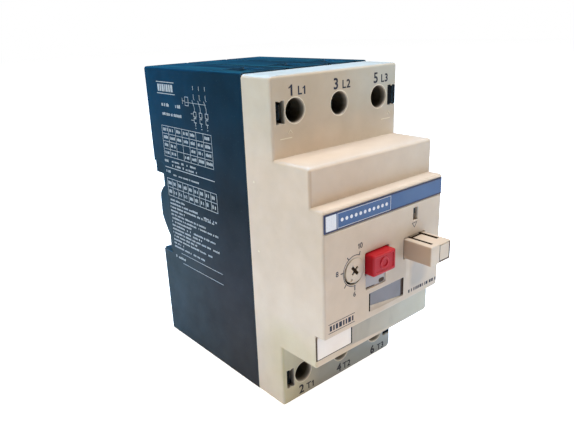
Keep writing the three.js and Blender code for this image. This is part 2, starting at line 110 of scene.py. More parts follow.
def solid(loops, name="part"):
    """A capped skin over loops of equal length."""
    n = len(loops[0])
    last = (len(loops) - 1) * n
    faces = []
    for i in range(0, last, n):
        for k in range(n):
            a, b = i + k, i + (k + 1) % n
            faces.append((a, b, b + n, a + n))
    faces.append(tuple(range(n))[::-1])
    faces.append(tuple(last + k for k in range(n)))
    return make(name, [point for loop in loops for point in loop], faces)


def place(axis, outline, c):
    """Outline to 3-D at c along the axis. (a, b) is (x, z) for y, (y, z) for x, (x, y) for z."""
    if axis == "y":
        return [(a, c, b) for a, b in outline]
    if axis == "x":
        return [(c, a, b) for a, b in outline]
    return [(a, b, c) for a, b in outline]


def rect(a0, a1, b0, b1):
    return [(a0, b0), (a1, b0), (a1, b1), (a0, b1)]


def circle(x, z, radius, segments=64):
    turns = [2 * math.pi * k / segments for k in range(segments)]
    return [(x + radius * math.cos(t), z + radius * math.sin(t)) for t in turns]


def round_rect(a0, a1, b0, b1, radii, steps=6, inset=0.0):
    """Anticlockwise; radii for bottom left, bottom right, top right, top left, or one for all."""
    if not isinstance(radii, tuple):
        radii = (radii,) * 4
    a0, a1, b0, b1 = a0 + inset, a1 - inset, b0 + inset, b1 - inset
    corners = (
        (a0, b0, 1, 1, math.pi),
        (a1, b0, -1, 1, 1.5 * math.pi),
        (a1, b1, -1, -1, 0),
        (a0, b1, 1, -1, 0.5 * math.pi),
    )  # corner, direction inward, start angle
    outline = []
    for (a, b, in_a, in_b, start), radius in zip(corners, radii):
        radius = max(radius - inset, 0.01)
        for k in range(steps + 1):
            t = start + k / steps * math.pi / 2
            outline.append((a + in_a * radius + radius * math.cos(t),
                            b + in_b * radius + radius * math.sin(t)))
    return outline


def prism(axis, outline, c0, c1, name="part"):
    return solid([place(axis, outline, c) for c in (c0, c1)], name)


def block(x0, x1, y0, y1, z0, z1):
    return prism("y", rect(x0, x1, z0, z1), y0, y1)


def rounded(axis, a0, a1, b0, b1, c0, c1, corner=0.5, rim0=0.3, rim1=0.3, steps=5,
            corner_steps=None, name="part"):
    """A box with rounded corners along its axis and rounded rims at its c0 and c1 ends."""
    stations = []  # inset and place along the axis
    quarter = [k / steps * math.pi / 2 for k in range(steps + 1)]
    for t in quarter:
        stations.append((rim0 * (1 - math.sin(t)), c0 + rim0 * (1 - math.cos(t))))
    for t in quarter:
        stations.append((rim1 * (1 - math.cos(t)), c1 - rim1 * (1 - math.sin(t))))
    corner_steps = corner_steps or steps + 1
    return solid([place(axis, round_rect(a0, a1, b0, b1, corner, corner_steps, inset), c)
                  for inset, c in stations], name)


def turned(x, z, profile, segments, name="part"):
    """A solid of revolution round the line along Y at (x, z), from (radius, y) pairs."""
    return solid([place("y", circle(x, z, r, segments), y) for r, y in profile], name)


def ring(x, z, profile, segments=64):
    """Like turned(), but the profile closes on itself and leaves a hole."""
    verts, faces = [], []
    for i, (radius, y) in enumerate(profile):
        verts += place("y", circle(x, z, radius, segments), y)
        here, following = i * segments, (i + 1) % len(profile) * segments
        for k in range(segments):
            after = (k + 1) % segments
            faces.append((here + k, here + after, following + after, following + k))
    return make("part", verts, faces)


def grow(outline, distance):
    """Offsets a closed anticlockwise outline outward."""
    grown = []
    for i, point in enumerate(outline):
        before, here, after = (Vector(p) for p in
                               (outline[i - 1], point, outline[(i + 1) % len(outline)]))
        edge0, edge1 = here - before, after - here
        if edge0.length < 1e-9 or edge1.length < 1e-9:
            grown.append(tuple(here))
            continue
        normal0 = Vector((edge0.y, -edge0.x)).normalized()
        normal1 = Vector((edge1.y, -edge1.x)).normalized()
        both = normal0 + normal1
        reach = distance / max(0.35, 0.5 * both.length_squared)
        grown.append(tuple(here + both * reach))
    return grown


def cutter(axis, outline, face, depth, chamfer=0.0):
    """A tool that sinks an outline into a face, from c = face to face + depth."""
    inward = 1 if depth > 0 else -1
    outside = face - inward * 2.0
    if chamfer:
        wide = grow(outline, chamfer)
        stations = [(wide, outside), (wide, face), (outline, face + inward * chamfer)]
    else:
        stations = [(outline, outside)]
    stations.append((outline, face + depth))
    return solid([place(axis, points, c) for points, c in stations], "tool")


def boolean(part, operation, tools):
    for tool in tools:
        modifier = part.modifiers.new("boolean", "BOOLEAN")
        modifier.operation, modifier.object, modifier.solver = operation, tool, "MANIFOLD"
    graph = bpy.context.evaluated_depsgraph_get()
    graph.update()
    mesh = bpy.data.meshes.new_from_object(part.evaluated_get(graph), depsgraph=graph)
    part.modifiers.clear()
    part.data = mesh
    for tool in tools:
        bpy.data.objects.remove(tool)


def cut(part, *tools):
    boolean(part, "DIFFERENCE", tools)


def fuse(part, *tools):
    boolean(part, "UNION", tools)


def join(name, parts):
    """One mesh from several closed ones, kept as they are."""
    work = bmesh.new()
    for part in parts:
        work.from_mesh(part.data)
        bpy.data.objects.remove(part)
    mesh = bpy.data.meshes.new(name)
    work.to_mesh(mesh)
    work.free()
    return add_object(name, mesh)


def paint(part, material):
    part.data.materials.clear()
    part.data.materials.append(material)


def finish(part, body, material, stands_for=None, angle=32, weighted=True):
    """Paints and smooths a piece, then tells the frame what it rides on and stands for."""
    paint(part, material)
    mesh = part.data
    mesh.polygons.foreach_set("use_smooth", [True] * len(mesh.polygons))
    mesh.set_sharp_from_angle(angle=math.radians(angle))
    if weighted:
        modifier = part.modifiers.new("weighted", "WEIGHTED_NORMAL")
        modifier.keep_sharp = True
        modifier.weight = 50
    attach(part, body)
    if stands_for:
        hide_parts(stands_for)


def finish_joined(name, parts, body, material):
    """Flat prints, inlays and other small parts as one crisp piece."""
    finish(join(name, parts), body, material, angle=60, weighted=False)


# ------------------------------------------------------------------ shader helpers
def srgb(red, green, blue):
    """Linear RGBA of an 8-bit sRGB colour."""
    def linear(value):
        c = value / 255
        return c / 12.92 if c <= 0.04045 else ((c + 0.055) / 1.055) ** 2.4

    return (linear(red), linear(green), linear(blue), 1.0)


class Shader:
    """A material with a Principled surface, and short calls for the nodes that feed it."""

    def __init__(self, name):
        self.material = bpy.data.materials.new(name)
        self.material.use_nodes = True
        self.tree = self.material.node_tree
        self.tree.nodes.clear()
        output = self.add("OutputMaterial")
        self.surface = self.add("BsdfPrincipled")
        self.feed(output.inputs[0], self.surface.outputs[0])
        self.coordinates = self.add("TexCoord").outputs["Object"]

    def add(self, kind, **settings):
        node = self.tree.nodes.new("ShaderNode" + kind)
        for key, value in settings.items():
            setattr(node, key, value)
        return node

    def feed(self, socket, value):
        """Links another node's output, or sets a plain value."""
        if isinstance(value, bpy.types.NodeSocket):
            self.tree.links.new(value, socket)
        else:
            socket.default_value = value

    def noise(self, scale, detail=3.0, rough=0.5, stretch=None):
        node = self.add("TexNoise")
        node.inputs["Scale"].default_value = scale
        node.inputs["Detail"].default_value = detail
        node.inputs["Roughness"].default_value = rough
        source = self.coordinates
        if stretch:
            mapping = self.add("Mapping")
            mapping.inputs["Scale"].default_value = stretch
            self.feed(mapping.inputs["Vector"], source)
            source = mapping.outputs[0]
        self.feed(node.inputs["Vector"], source)
        return node.outputs["Fac"]

    def ramp(self, factor, *stops):
        """Colour ramp from (position, sRGB triple) stops."""
        node = self.add("ValToRGB")
        elements = node.color_ramp.elements
        while len(elements) > 1:
            elements.remove(elements[-1])
        elements[0].position, elements[0].color = stops[0][0], srgb(*stops[0][1])
        for position, color in stops[1:]:
            elements.new(position).color = srgb(*color)
        self.feed(node.inputs[0], factor)
        return node.outputs[0]

    def math(self, operation, *values):
        node = self.add("Math", operation=operation)
        for i, value in enumerate(values):
            self.feed(node.inputs[i], value)
        return node.outputs[0]

    def times(self, first, *others):
        for other in others:
            first = self.math("MULTIPLY", first, other)
        return first

    def weigh(self, first, share1, second, share2):
        return self.math("ADD", self.times(first, share1), self.times(second, share2))

    def fade(self, value, start, end, low=0.0, high=1.0):
        """Runs from low where the value is at start to high where it is at end, and clamps."""
        node = self.add("MapRange", clamp=True)
        for i, item in enumerate((value, start, end, low, high)):
            self.feed(node.inputs[i], item)
        return node.outputs[0]

    def mix(self, factor, first, second, mode="MIX"):
        node = self.add("Mix", data_type="RGBA", blend_type=mode)
        for i, value in ((0, factor), (6, first), (7, second)):
            self.feed(node.inputs[i], value)
        return node.outputs[2]

    def tint(self, color, mask, gains):
        """Multiplies red, green and blue by gains where the mask is 1."""
        return self.mix(mask, color, self.mix(1.0, color, (*gains, 1), "MULTIPLY"))

    def xyz(self):
        node = self.add("SeparateXYZ")
        self.feed(node.inputs[0], self.coordinates)
        return node.outputs

    def dot(self, first, second):
        node = self.add("VectorMath", operation="DOT_PRODUCT")
        self.feed(node.inputs[0], first)
        self.feed(node.inputs[1], second)
        return node.outputs["Value"]

    def facing(self, direction, start=0.6, end=0.95):
        """About 1 where the surface looks along the direction."""
        normal = self.add("NewGeometry").outputs["Normal"]
        return self.fade(self.dot(normal, direction), start, end)

    def edges(self, radius):
        """About 1 on edges, 0 on flats, by comparing rounded and true normals."""
        bevel = self.add("Bevel", samples=4)
        bevel.inputs["Radius"].default_value = radius
        normal = self.add("NewGeometry").outputs["Normal"]
        return self.fade(self.dot(bevel.outputs[0], normal), start=0.998, end=0.86)

    def bump(self, height, strength, distance):
        node = self.add("Bump")
        node.inputs["Strength"].default_value = strength
        node.inputs["Distance"].default_value = distance
        self.feed(node.inputs["Height"], height)
        return node.outputs[0]

    def set(self, **inputs):
        for key, value in inputs.items():
            self.feed(self.surface.inputs[key.replace("_", " ")], value)
        return self.material


def plastic(name, dark, base, light, rough=(0.38, 0.52), grain=5200, grain_strength=0.06,
            edge=None, rim_highlight_amount=0.35, spec=0.5, extra=None, speck=0.0, speck_color=None):
    """Moulded plastic: slow mottling, fine grain, handled patches in the roughness, and a painted
    highlight on the rims, in patches.
    """
    mat = Shader(name)
    slow = mat.noise(26, detail=4, rough=0.55)
    mid = mat.noise(170)
    fine = mat.noise(grain, detail=2)
    col = mat.ramp(mat.weigh(slow, 0.72, mid, 0.28), (0.34, dark), (0.5, base), (0.66, light))
    if extra:
        col = extra(mat, col)
    pit = tuple(channel * 0.86 for channel in srgb(*dark)[:3]) + (1.0,)
    col = mat.mix(mat.fade(fine, 0.42, 0.62, high=0.10), col, pit)
    if speck:
        dots = mat.noise(1500, detail=1, rough=0.4)
        col = mat.mix(mat.fade(dots, 0.70, 0.76, high=speck), col, srgb(*speck_color))
    # painted highlight: the rims are lightened towards the edge colour, in patches
    if edge:
        patches = mat.fade(mat.noise(420, rough=0.6), 0.36, 0.62, low=0.25)
        rim_highlight = mat.times(mat.edges(radius=0.0006), patches)
        col = mat.mix(mat.times(rim_highlight, rim_highlight_amount), col, srgb(*edge))
    handled = mat.weigh(mat.noise(60, rough=0.6), 0.6, mid, 0.4)
    relief = mat.math("ADD", fine, mat.times(mat.noise(900, detail=2), 0.6))
    return mat.set(
        Base_Color=col,
        Roughness=mat.fade(handled, 0.35, 0.65, *rough),
        Normal=mat.bump(relief, strength=grain_strength, distance=0.00006),
        Specular_IOR_Level=spec,
    )


def metal(name, base, dark, rough=(0.22, 0.42), brushed=(1, 1, 1), tarnish=0.35, spots=None):
    """Tarnished metal; brushed stretches its fine scratches along x, y and z."""
    mat = Shader(name)
    patches = mat.noise(240, detail=4, rough=0.6)
    col = mat.mix(mat.fade(patches, 0.42, 0.68, high=tarnish), srgb(*base), srgb(*dark))
    if spots:
        dots = mat.fade(mat.noise(900, detail=2), 0.62, 0.74, high=0.5)
        col = mat.mix(dots, col, srgb(*spots))
    scratches = mat.noise(2600, detail=2, stretch=brushed)
    worn = mat.weigh(patches, 0.5, scratches, 0.5)
    return mat.set(
        Base_Color=col,
        Metallic=1.0,
        Roughness=mat.fade(worn, 0.35, 0.65, *rough),
        Normal=mat.bump(scratches, strength=0.12, distance=0.00002),
    )


def ink(name, color, worn, amount=0.25):
    """Printed ink, rubbed towards the worn colour by amount."""
    mat = Shader(name)
    rubbed = mat.fade(mat.noise(1800, rough=0.6), 0.5, 0.68, high=amount)
    return mat.set(
        Base_Color=mat.mix(rubbed, srgb(*color), srgb(*worn)),
        Roughness=mat.fade(mat.noise(700, detail=2), 0.35, 0.65, low=0.45, high=0.6),
        Normal=mat.bump(mat.noise(3200, detail=2), strength=0.05, distance=0.00002),
    )


def cover_painted_light_and_dirt(mat, col):
    """Local colour of the beige cover: mostly painted light and shade, with streaks of dirt on the
    chin. Each mask fades in from its start to its end, in metres.
    """
    x, y, z = mat.xyz()
    wobble = mat.times(mat.math("SUBTRACT", mat.noise(34, rough=0.6), 0.5), 0.02)
    wavy_z, wavy_x = mat.math("ADD", z, wobble), mat.math("ADD", x, wobble)
    fade, times, tint = mat.fade, mat.times, mat.tint

    def sloping_z():
        """z with the slight slope of the chin's lower edge."""
        return mat.math("ADD", z, times(x, 0.045))

    # painted light on the front faces: warmer on the left, cooler to the right
    front = mat.facing((0, -1, 0))
    warm = mat.mix(fade(wavy_x, -0.012, 0.022), (0.99, 0.905, 0.835, 1), (0.965, 0.95, 0.935, 1))
    col = mat.mix(front, col, mat.mix(1.0, col, warm, "MULTIPLY"))
    # painted shade, olive, near the line terminals, and painted bluish light at the top right
    col = tint(col, times(fade(wavy_z, 0.034, 0.050), front), (0.80, 0.83, 0.80))
    top_right = times(fade(wavy_z, 0.044, 0.052), front, fade(wavy_x, 0.0, 0.024))
    col = tint(col, top_right, (1.0, 1.12, 1.24))
    # a band of painted light on the deck just above the middle tier
    above = times(fade(z, 0.045, 0.036), fade(z, 0.0352, 0.0356), front, fade(y, -0.0775, -0.0765))
    col = tint(col, above, (1.20, 1.26, 1.30))
    # painted light: the upper left wall tinted cooler, then a painted bluish sheen on the top
    left = times(mat.facing((-1, 0, 0)), fade(wavy_z, 0.030, 0.050))
    col = tint(col, left, (0.84, 0.92, 0.94))
    top = times(mat.facing((0, 0, 1)), fade(z, 0.055, 0.058))
    col = tint(col, top, (0.74, 0.86, 0.92))
    # painted cool light, greyer towards the foot
    low_part = times(fade(wavy_z, -0.006, -0.026), fade(x, -0.020, 0.012, low=0.15))
    col = tint(col, low_part, (0.97, 1.04, 1.12))
    # the chin: painted shade that dulls it, painted light that makes it lighter to the right, and
    # streaks of dirt
    chin = times(fade(z, -0.0216, -0.0222), fade(sloping_z(), -0.0331, -0.0327),
                 fade(y, -0.0925, -0.094), fade(x, -0.031, -0.012))
    streaks = mat.noise(130, rough=0.6, stretch=(1.0, 1.0, 0.35))
    dirt = times(chin, fade(streaks, 0.52, 0.66, high=0.55))
    col = tint(col, chin, (0.67, 0.745, 0.78))
    col = tint(col, times(chin, fade(x, -0.005, 0.028)), (1.34, 1.35, 1.28))
    col = tint(col, dirt, (0.80, 0.80, 0.82))
    # the chin's lower lip: a painted highlight, turning to painted shade to the right
    lip = times(fade(sloping_z(), -0.0327, -0.0331), fade(y, -0.0925, -0.094))
    col = tint(col, lip, (1.04, 1.05, 1.04))
    col = tint(col, times(lip, fade(x, -0.002, 0.016)), (0.74, 0.80, 0.84))
    # a painted shadow of the start button: a greyer field below it
    field = times(fade(wavy_x, 0.0128, 0.0150), fade(wavy_x, 0.0235, 0.0195),
                  fade(y, -0.0985, -0.0990),
                  times(fade(z, -0.0035, -0.0060), fade(wavy_z, -0.0185, -0.0160)))
    col = tint(col, field, (0.72, 0.78, 0.88))
    # painted shade on the deep face under the chin, duller to the right where the chin overhangs
    foot = times(fade(z, -0.032, -0.036), times(front, fade(y, -0.079, -0.0775)))
    col = tint(col, foot, (0.93, 1.05, 0.95))
    col = tint(col, times(foot, fade(x, -0.026, -0.012)), (0.62, 0.67, 0.88))
    # the left wall at the foot, and its rounded corner, darker and yellower
    sallow = times(fade(wavy_z, -0.018, -0.028), fade(y, -0.064, -0.074),
                   fade(wavy_z, -0.057, -0.047, low=0.3), fade(x, -0.0292, -0.0302))
    col = tint(col, sallow, (0.89, 0.90, 0.77))
    # painted shade on the rounded left corner of the middle tier above the panel
    rounding = times(mat.facing((-0.707, -0.707, 0), start=0.80),
                     times(fade(z, 0.0222, 0.0232), fade(y, -0.0915, -0.0925)))
    col = tint(col, rounding, (0.90, 0.82, 0.74))
    # a painted strip of light to the left of the start button's painted shadow
    strip = times(fade(x, 0.0107, 0.0110), fade(x, 0.0131, 0.0127), fade(y, -0.0985, -0.0990),
                  times(fade(z, -0.0050, -0.0055), fade(z, -0.0135, -0.0115)))
    col = tint(col, strip, (1.12, 1.16, 1.20))
    # painted shade: the insides of the shell and of the terminal bosses fall off to a dark brown
    inside = times(fade(mat.math("ABSOLUTE", x), 0.0286, 0.0284), fade(y, -0.0766, -0.0742),
                   fade(mat.math("ABSOLUTE", z), 0.0592, 0.0588))
    return mat.mix(times(mat.math("POWER", inside, 0.6), 0.96), col, srgb(44, 36, 20))


def base_painted_sheen_and_shade(mat, col):
    """Blue-black under a painted sheen: bluer towards the top and the back, greyer at the foot."""
    _, y, z = mat.xyz()
    wobble = mat.times(mat.math("SUBTRACT", mat.noise(22, rough=0.6), 0.5), 0.03)
    # painted sheen: grey at the foot, a bluish reflection towards the top and the back
    height = mat.fade(mat.math("ADD", z, wobble), -0.045, 0.050)
    front = mat.ramp(height, (0.0, (52, 51, 53)), (0.30, (49, 52, 60)), (0.62, (20, 32, 42)),
                     (1.0, (2, 40, 62)))
    rear = mat.ramp(height, (0.0, (56, 70, 80)), (0.30, (54, 70, 80)), (0.62, (20, 54, 74)),
                    (1.0, (0, 58, 92)))
    shade = mat.mix(mat.fade(mat.math("ADD", y, wobble), -0.045, 0.0), front, rear)
    # a neutral tint: white leaves the shade as it is
    white = (1, 1, 1, 1)
    shade = mat.mix(1.0, shade, mat.mix(0.0, white, white), "MULTIPLY")
    col = mat.mix(0.94, col, shade)
    # a painted teal sheen on the top faces, streaked
    top = mat.times(mat.facing((0, 0, 1)), mat.fade(z, 0.056, 0.060))
    streaks = mat.noise(60, detail=4, rough=0.65, stretch=(3.0, 0.35, 1.0))
    teal = mat.ramp(streaks, (0.36, (2, 26, 36)), (0.5, (6, 52, 66)), (0.62, (18, 76, 88)))
    col = mat.mix(mat.times(top, 0.75), col, teal)
    # the hooks in the cover's slots are unlit black
    col = mat.mix(mat.fade(y, -0.0622, -0.0635, high=0.97), col, srgb(4, 6, 9))
    # broad patches of lighter and darker
    patches = mat.add("HueSaturation")
    brightness = mat.fade(mat.noise(90, rough=0.55), 0.3, 0.7, low=0.86, high=1.14)
    mat.feed(patches.inputs["Value"], brightness)
    mat.feed(patches.inputs["Color"], col)
    return patches.outputs[0]


def start_left_painted_shade(mat, col):
    """Painted shade on the left side of the start button, which the panel keeps from the light."""
    return mat.mix(mat.times(mat.facing((-1, 0, 0)), 0.8), col, srgb(180, 153, 128))


# ------------------------------------------------------------------ materials
# plastics: dark, base and light shades in sRGB; rough is the range of the roughness; edge is the
# colour of a painted rim highlight
COVER = plastic("cover_beige", (203, 189, 171), (212, 198, 182), (219, 207, 192),
                rough=(0.40, 0.54), edge=(236, 228, 214), rim_highlight_amount=0.40, extra=cover_painted_light_and_dirt,
                speck=0.10, speck_color=(150, 132, 108))
BASE = plastic("base_navy", (22, 40, 55), (27, 46, 62), (34, 54, 70), rough=(0.42, 0.58),
               edge=(84, 118, 136), rim_highlight_amount=0.55, extra=base_painted_sheen_and_shade, spec=0.07,
               speck=0.12, speck_color=(96, 120, 138))
RED = plastic("stop_red", (166, 12, 26), (186, 16, 32), (199, 22, 38), rough=(0.28, 0.42),
              spec=0.25, grain_strength=0.04, edge=(228, 92, 96), rim_highlight_amount=0.45)
PALE = plastic("start_beige", (204, 187, 166), (215, 199, 180), (223, 209, 192),
               extra=start_left_painted_shade, rough=(0.34, 0.48), edge=(240, 232, 216), rim_highlight_amount=0.4)
CREAM = plastic("dial_cream", (198, 178, 156), (208, 189, 168), (214, 198, 179),
                rough=(0.38, 0.5), edge=(232, 222, 198))
BLACK = plastic("black_plastic", (14, 14, 16), (20, 20, 22), (28, 28, 30), rough=(0.42, 0.58),
                grain_strength=0.10, edge=(86, 86, 90))
# near-black sheets painted into gaps as shadow
GAP_SHADOW_BLACK = plastic("gap_shadow", (10, 8, 7), (14, 12, 10), (20, 17, 15),
                   rough=(0.6, 0.75), spec=0.1)
# dark brown inlays painted into grooves and slots as shade
SLOT_SHADE_BROWN = plastic("slot_shade_brown", (30, 18, 4), (44, 28, 8), (60, 40, 14),
                     rough=(0.6, 0.75), spec=0.1)
# brown sheets painted into gaps and along edges as shadow
GAP_SHADOW_BROWN = plastic("gap_shadow_brown", (74, 60, 50), (88, 73, 62), (100, 85, 74),
                   rough=(0.6, 0.75), spec=0.1)
# a lighter beige that paints a highlight on the cover's raised marks
RIM_HIGHLIGHT = plastic("rim_highlight_beige", (222, 212, 190), (232, 223, 203), (240, 232, 214),
              rough=(0.35, 0.5), grain_strength=0.04)
# grey painted on the pocket's floor as the stop button's shadow
POCKET_SHADOW_GREY = plastic("pocket_shadow_grey", (168, 162, 162), (180, 175, 176), (190, 186, 188),
               rough=(0.45, 0.6), grain_strength=0.05)
BLUE = plastic("band_blue", (44, 78, 128), (52, 88, 138), (64, 100, 148),
               rough=(0.30, 0.42), grain_strength=0.03)
BORDER = ink("band_border", (44, 40, 72), (70, 68, 96))
WHITE = plastic("plate_white", (238, 224, 214), (246, 234, 225), (250, 241, 234),
                rough=(0.34, 0.46), grain_strength=0.04)
WINDOW = plastic("window_grey", (118, 115, 120), (130, 126, 131), (142, 138, 142),
                 rough=(0.28, 0.38), grain_strength=0.008)
INK_DARK = ink("ink_navy", (18, 22, 48), (60, 58, 74), amount=0.2)
INK_PALE = ink("ink_white", (176, 190, 202), (96, 116, 134), amount=0.45)
INK_WHITE = ink("ink_bright", (232, 232, 236), (180, 186, 198), amount=0.3)
# metals: clean and tarnished colours in sRGB
ZINC = metal("zinc_plate", (132, 128, 114), (84, 76, 58), spots=(206, 196, 160))
WIRE = metal("spring_wire", (150, 153, 158), (88, 88, 92), rough=(0.2, 0.34), tarnish=0.25)
BRASSY = metal("cage_brass", (196, 168, 96), (126, 98, 52), rough=(0.25, 0.45))
COPPERY = metal("contact_copper", (198, 136, 96), (128, 78, 52), brushed=(1, 8, 1))
WINDING = metal("coil_winding", (176, 92, 46), (112, 50, 24), rough=(0.18, 0.3), tarnish=0.45)
STEEL = metal("sheet_steel", (158, 162, 166), (104, 104, 104), rough=(0.26, 0.46),
              brushed=(8, 1, 1))
FIBRE = plastic("fibre_board", (116, 96, 72), (134, 112, 86), (150, 128, 100), rough=(0.6, 0.8),
                grain=1600, grain_strength=0.3)
metal("contact_silver", (206, 204, 196), (132, 126, 116), rough=(0.3, 0.5))  # a spare, on no piece

# ------------------------------------------------------------------ base housing
LATCH_TOP = -16.7  # top of the channel that the rail latch slides in
# y, z down the profile of the humps that sit inside the rail
HUMP = [
    (-1.5, 12.6), (0.0, 12.2), (1.6, 11.2), (3.4, 9.4), (4.2, 8.2),
    (4.55, 6.6), (4.65, 4.6), (4.75, 1.0), (4.8, -1.4), (4.55, -2.8),
    (3.6, -4.8), (2.4, -6.8), (1.2, -8.8), (0.2, -10.3), (-1.5, -11.4),
]


def rail_hump(side, wall=0.8, width=3.0, rim=0.25):
    x0, x1 = sorted((side * (HALF - wall), side * (HALF - wall - width)))
    outline = HUMP[::-1]
    drawn_in = grow(outline, -rim)
    stations = ((drawn_in, x0), (outline, x0 + rim), (outline, x1 - rim), (drawn_in, x1))
    return solid([place("x", points, x) for points, x in stations])


def snap_hooks(z0, z1):
    """The left and right hooks of one height, their ends in the cover's clip slots."""
    root = -61.0
    return (
        block(-HALF + 1.7, -26.3, root - 0.5, -55, z0, z1),
        rounded("y", -28.3, -26.3, z0, z1, DECK + 1.1, root,
                corner=0.3, rim0=0.4, rim1=0.05, steps=3),
        block(26.3, HALF - 1.7, root - 0.5, -55, z0, z1),
        block(26.6, 28.3, DECK + 3.2, root, z0, z1),
        rounded("y", 25.72, 30.66, z0 - 1.15, z1 + 1.15, DECK + 0.42, DECK + 3.9,
                corner=0.3, rim0=0.35, rim1=0.1, steps=3),
        # a rib down the middle of the right hook
        rounded("y", 28.5, 29.3, z0 - 0.4, z1 + 0.4, DECK + 0.12, DECK + 2,
                corner=0.3, rim0=0.25, rim1=0.05, steps=3),
    )


def build_base():
    base = rounded("y", -HALF, HALF, BOTTOM, BASE_TOP, JOINT, BACK, corner=(0.9, 0.9, 1.0, 1.0),
                   rim0=0.28, rim1=0.55, corner_steps=7, name="base_housing_shell")
    wall, cap = 2, 2.5
    cut(base, block(-HALF + wall, HALF - wall, JOINT - 2, -3, BOTTOM + cap, BASE_TOP - cap))
    # ribs between the poles, each with a window
    ribs = [side * RIB_X for side in SIDES]
    fuse(base, *(block(x - 1, x + 1, -56, -2, BOTTOM + 1.5, BASE_TOP - 1.5) for x in ribs))
    # rail channel with softened mouth, and the shallow reliefs of the side walls around it
    channel = round_rect(-0.4, BACK + 2, -17.7, 17.7, 0.5, 5)
    relief = round_rect(-3.2, BACK + 3, -18.2, 23.0, 0.8, 5)
    cut(base, *(block(x - 2, x + 2, -57, -28.5, 1.2, 9.8) for x in ribs),
        prism("x", channel, -40, 40),
        *(prism("x", relief, *sorted((side * (HALF + 2), side * (HALF - 0.8))))
          for side in SIDES))
    # plate in the channel floor, humps, and the two upper rail hooks
    fuse(base, rounded("y", -20, 20, -13, 13, -1.5, 0.0, corner=0.4, rim0=0.05, rim1=0.15),
         *(rail_hump(side) for side in SIDES),
         *(rounded("x", 1.5, BACK, 14.0, 19.0, *sorted((side * 10, side * 24)),
                   rim0=0.2, rim1=0.2) for side in SIDES))
    # stepped channel for the rail latch, and the stub in it
    cut(base, block(-8.3, 8.3, 1.3, 3.6, -70, LATCH_TOP),
        block(-6.3, 6.3, 1.2, BACK + 1, -70, LATCH_TOP))
    fuse(base, rounded("y", -1.9, 1.9, -42.6, -40.6, 0.5, 4.5, corner=0.3, rim0=0.1, rim1=0.2),
         *snap_hooks(47.7, 52.6), *snap_hooks(-51.5, -46.2))
    # barrier grooves between the poles, top and bottom, and one wire entry per pole
    tools = []
    half_width, depth = 0.8, 1.8
    for x in ribs:
        x0, x1 = x - half_width, x + half_width
        tools.append(block(x0, x1, JOINT - 2, BACK + 2, BASE_TOP - depth, BASE_TOP + 2))
        tools.append(block(x0, x1, JOINT - 2, -2.0, BOTTOM - 2, BOTTOM + depth))
    for x in POLES:
        entry = round_rect(x - 4.6, x + 4.6, -55.0, -44.0, 0.8, 5)
        tools.append(cutter("z", entry, BASE_TOP, -6.0, chamfer=0.7))
        tools.append(cutter("z", entry, BOTTOM, 6.0, chamfer=0.7))
    cut(base, *tools)
    finish(base, ROOT, BASE, "base_housing", angle=34)


# ------------------------------------------------------------------ front cover
def clip_slot(x0, x1, tooth_x, z0, z1):
    """Slot outline with a small tooth at tooth_x on its top and bottom edges."""
    half, tooth = 0.55, 0.45
    return [(x0, z0), (tooth_x - half, z0), (tooth_x, z0 + tooth), (tooth_x + half, z0), (x1, z0),
            (x1, z1), (tooth_x + half, z1), (tooth_x, z1 - tooth), (tooth_x - half, z1), (x0, z1)]


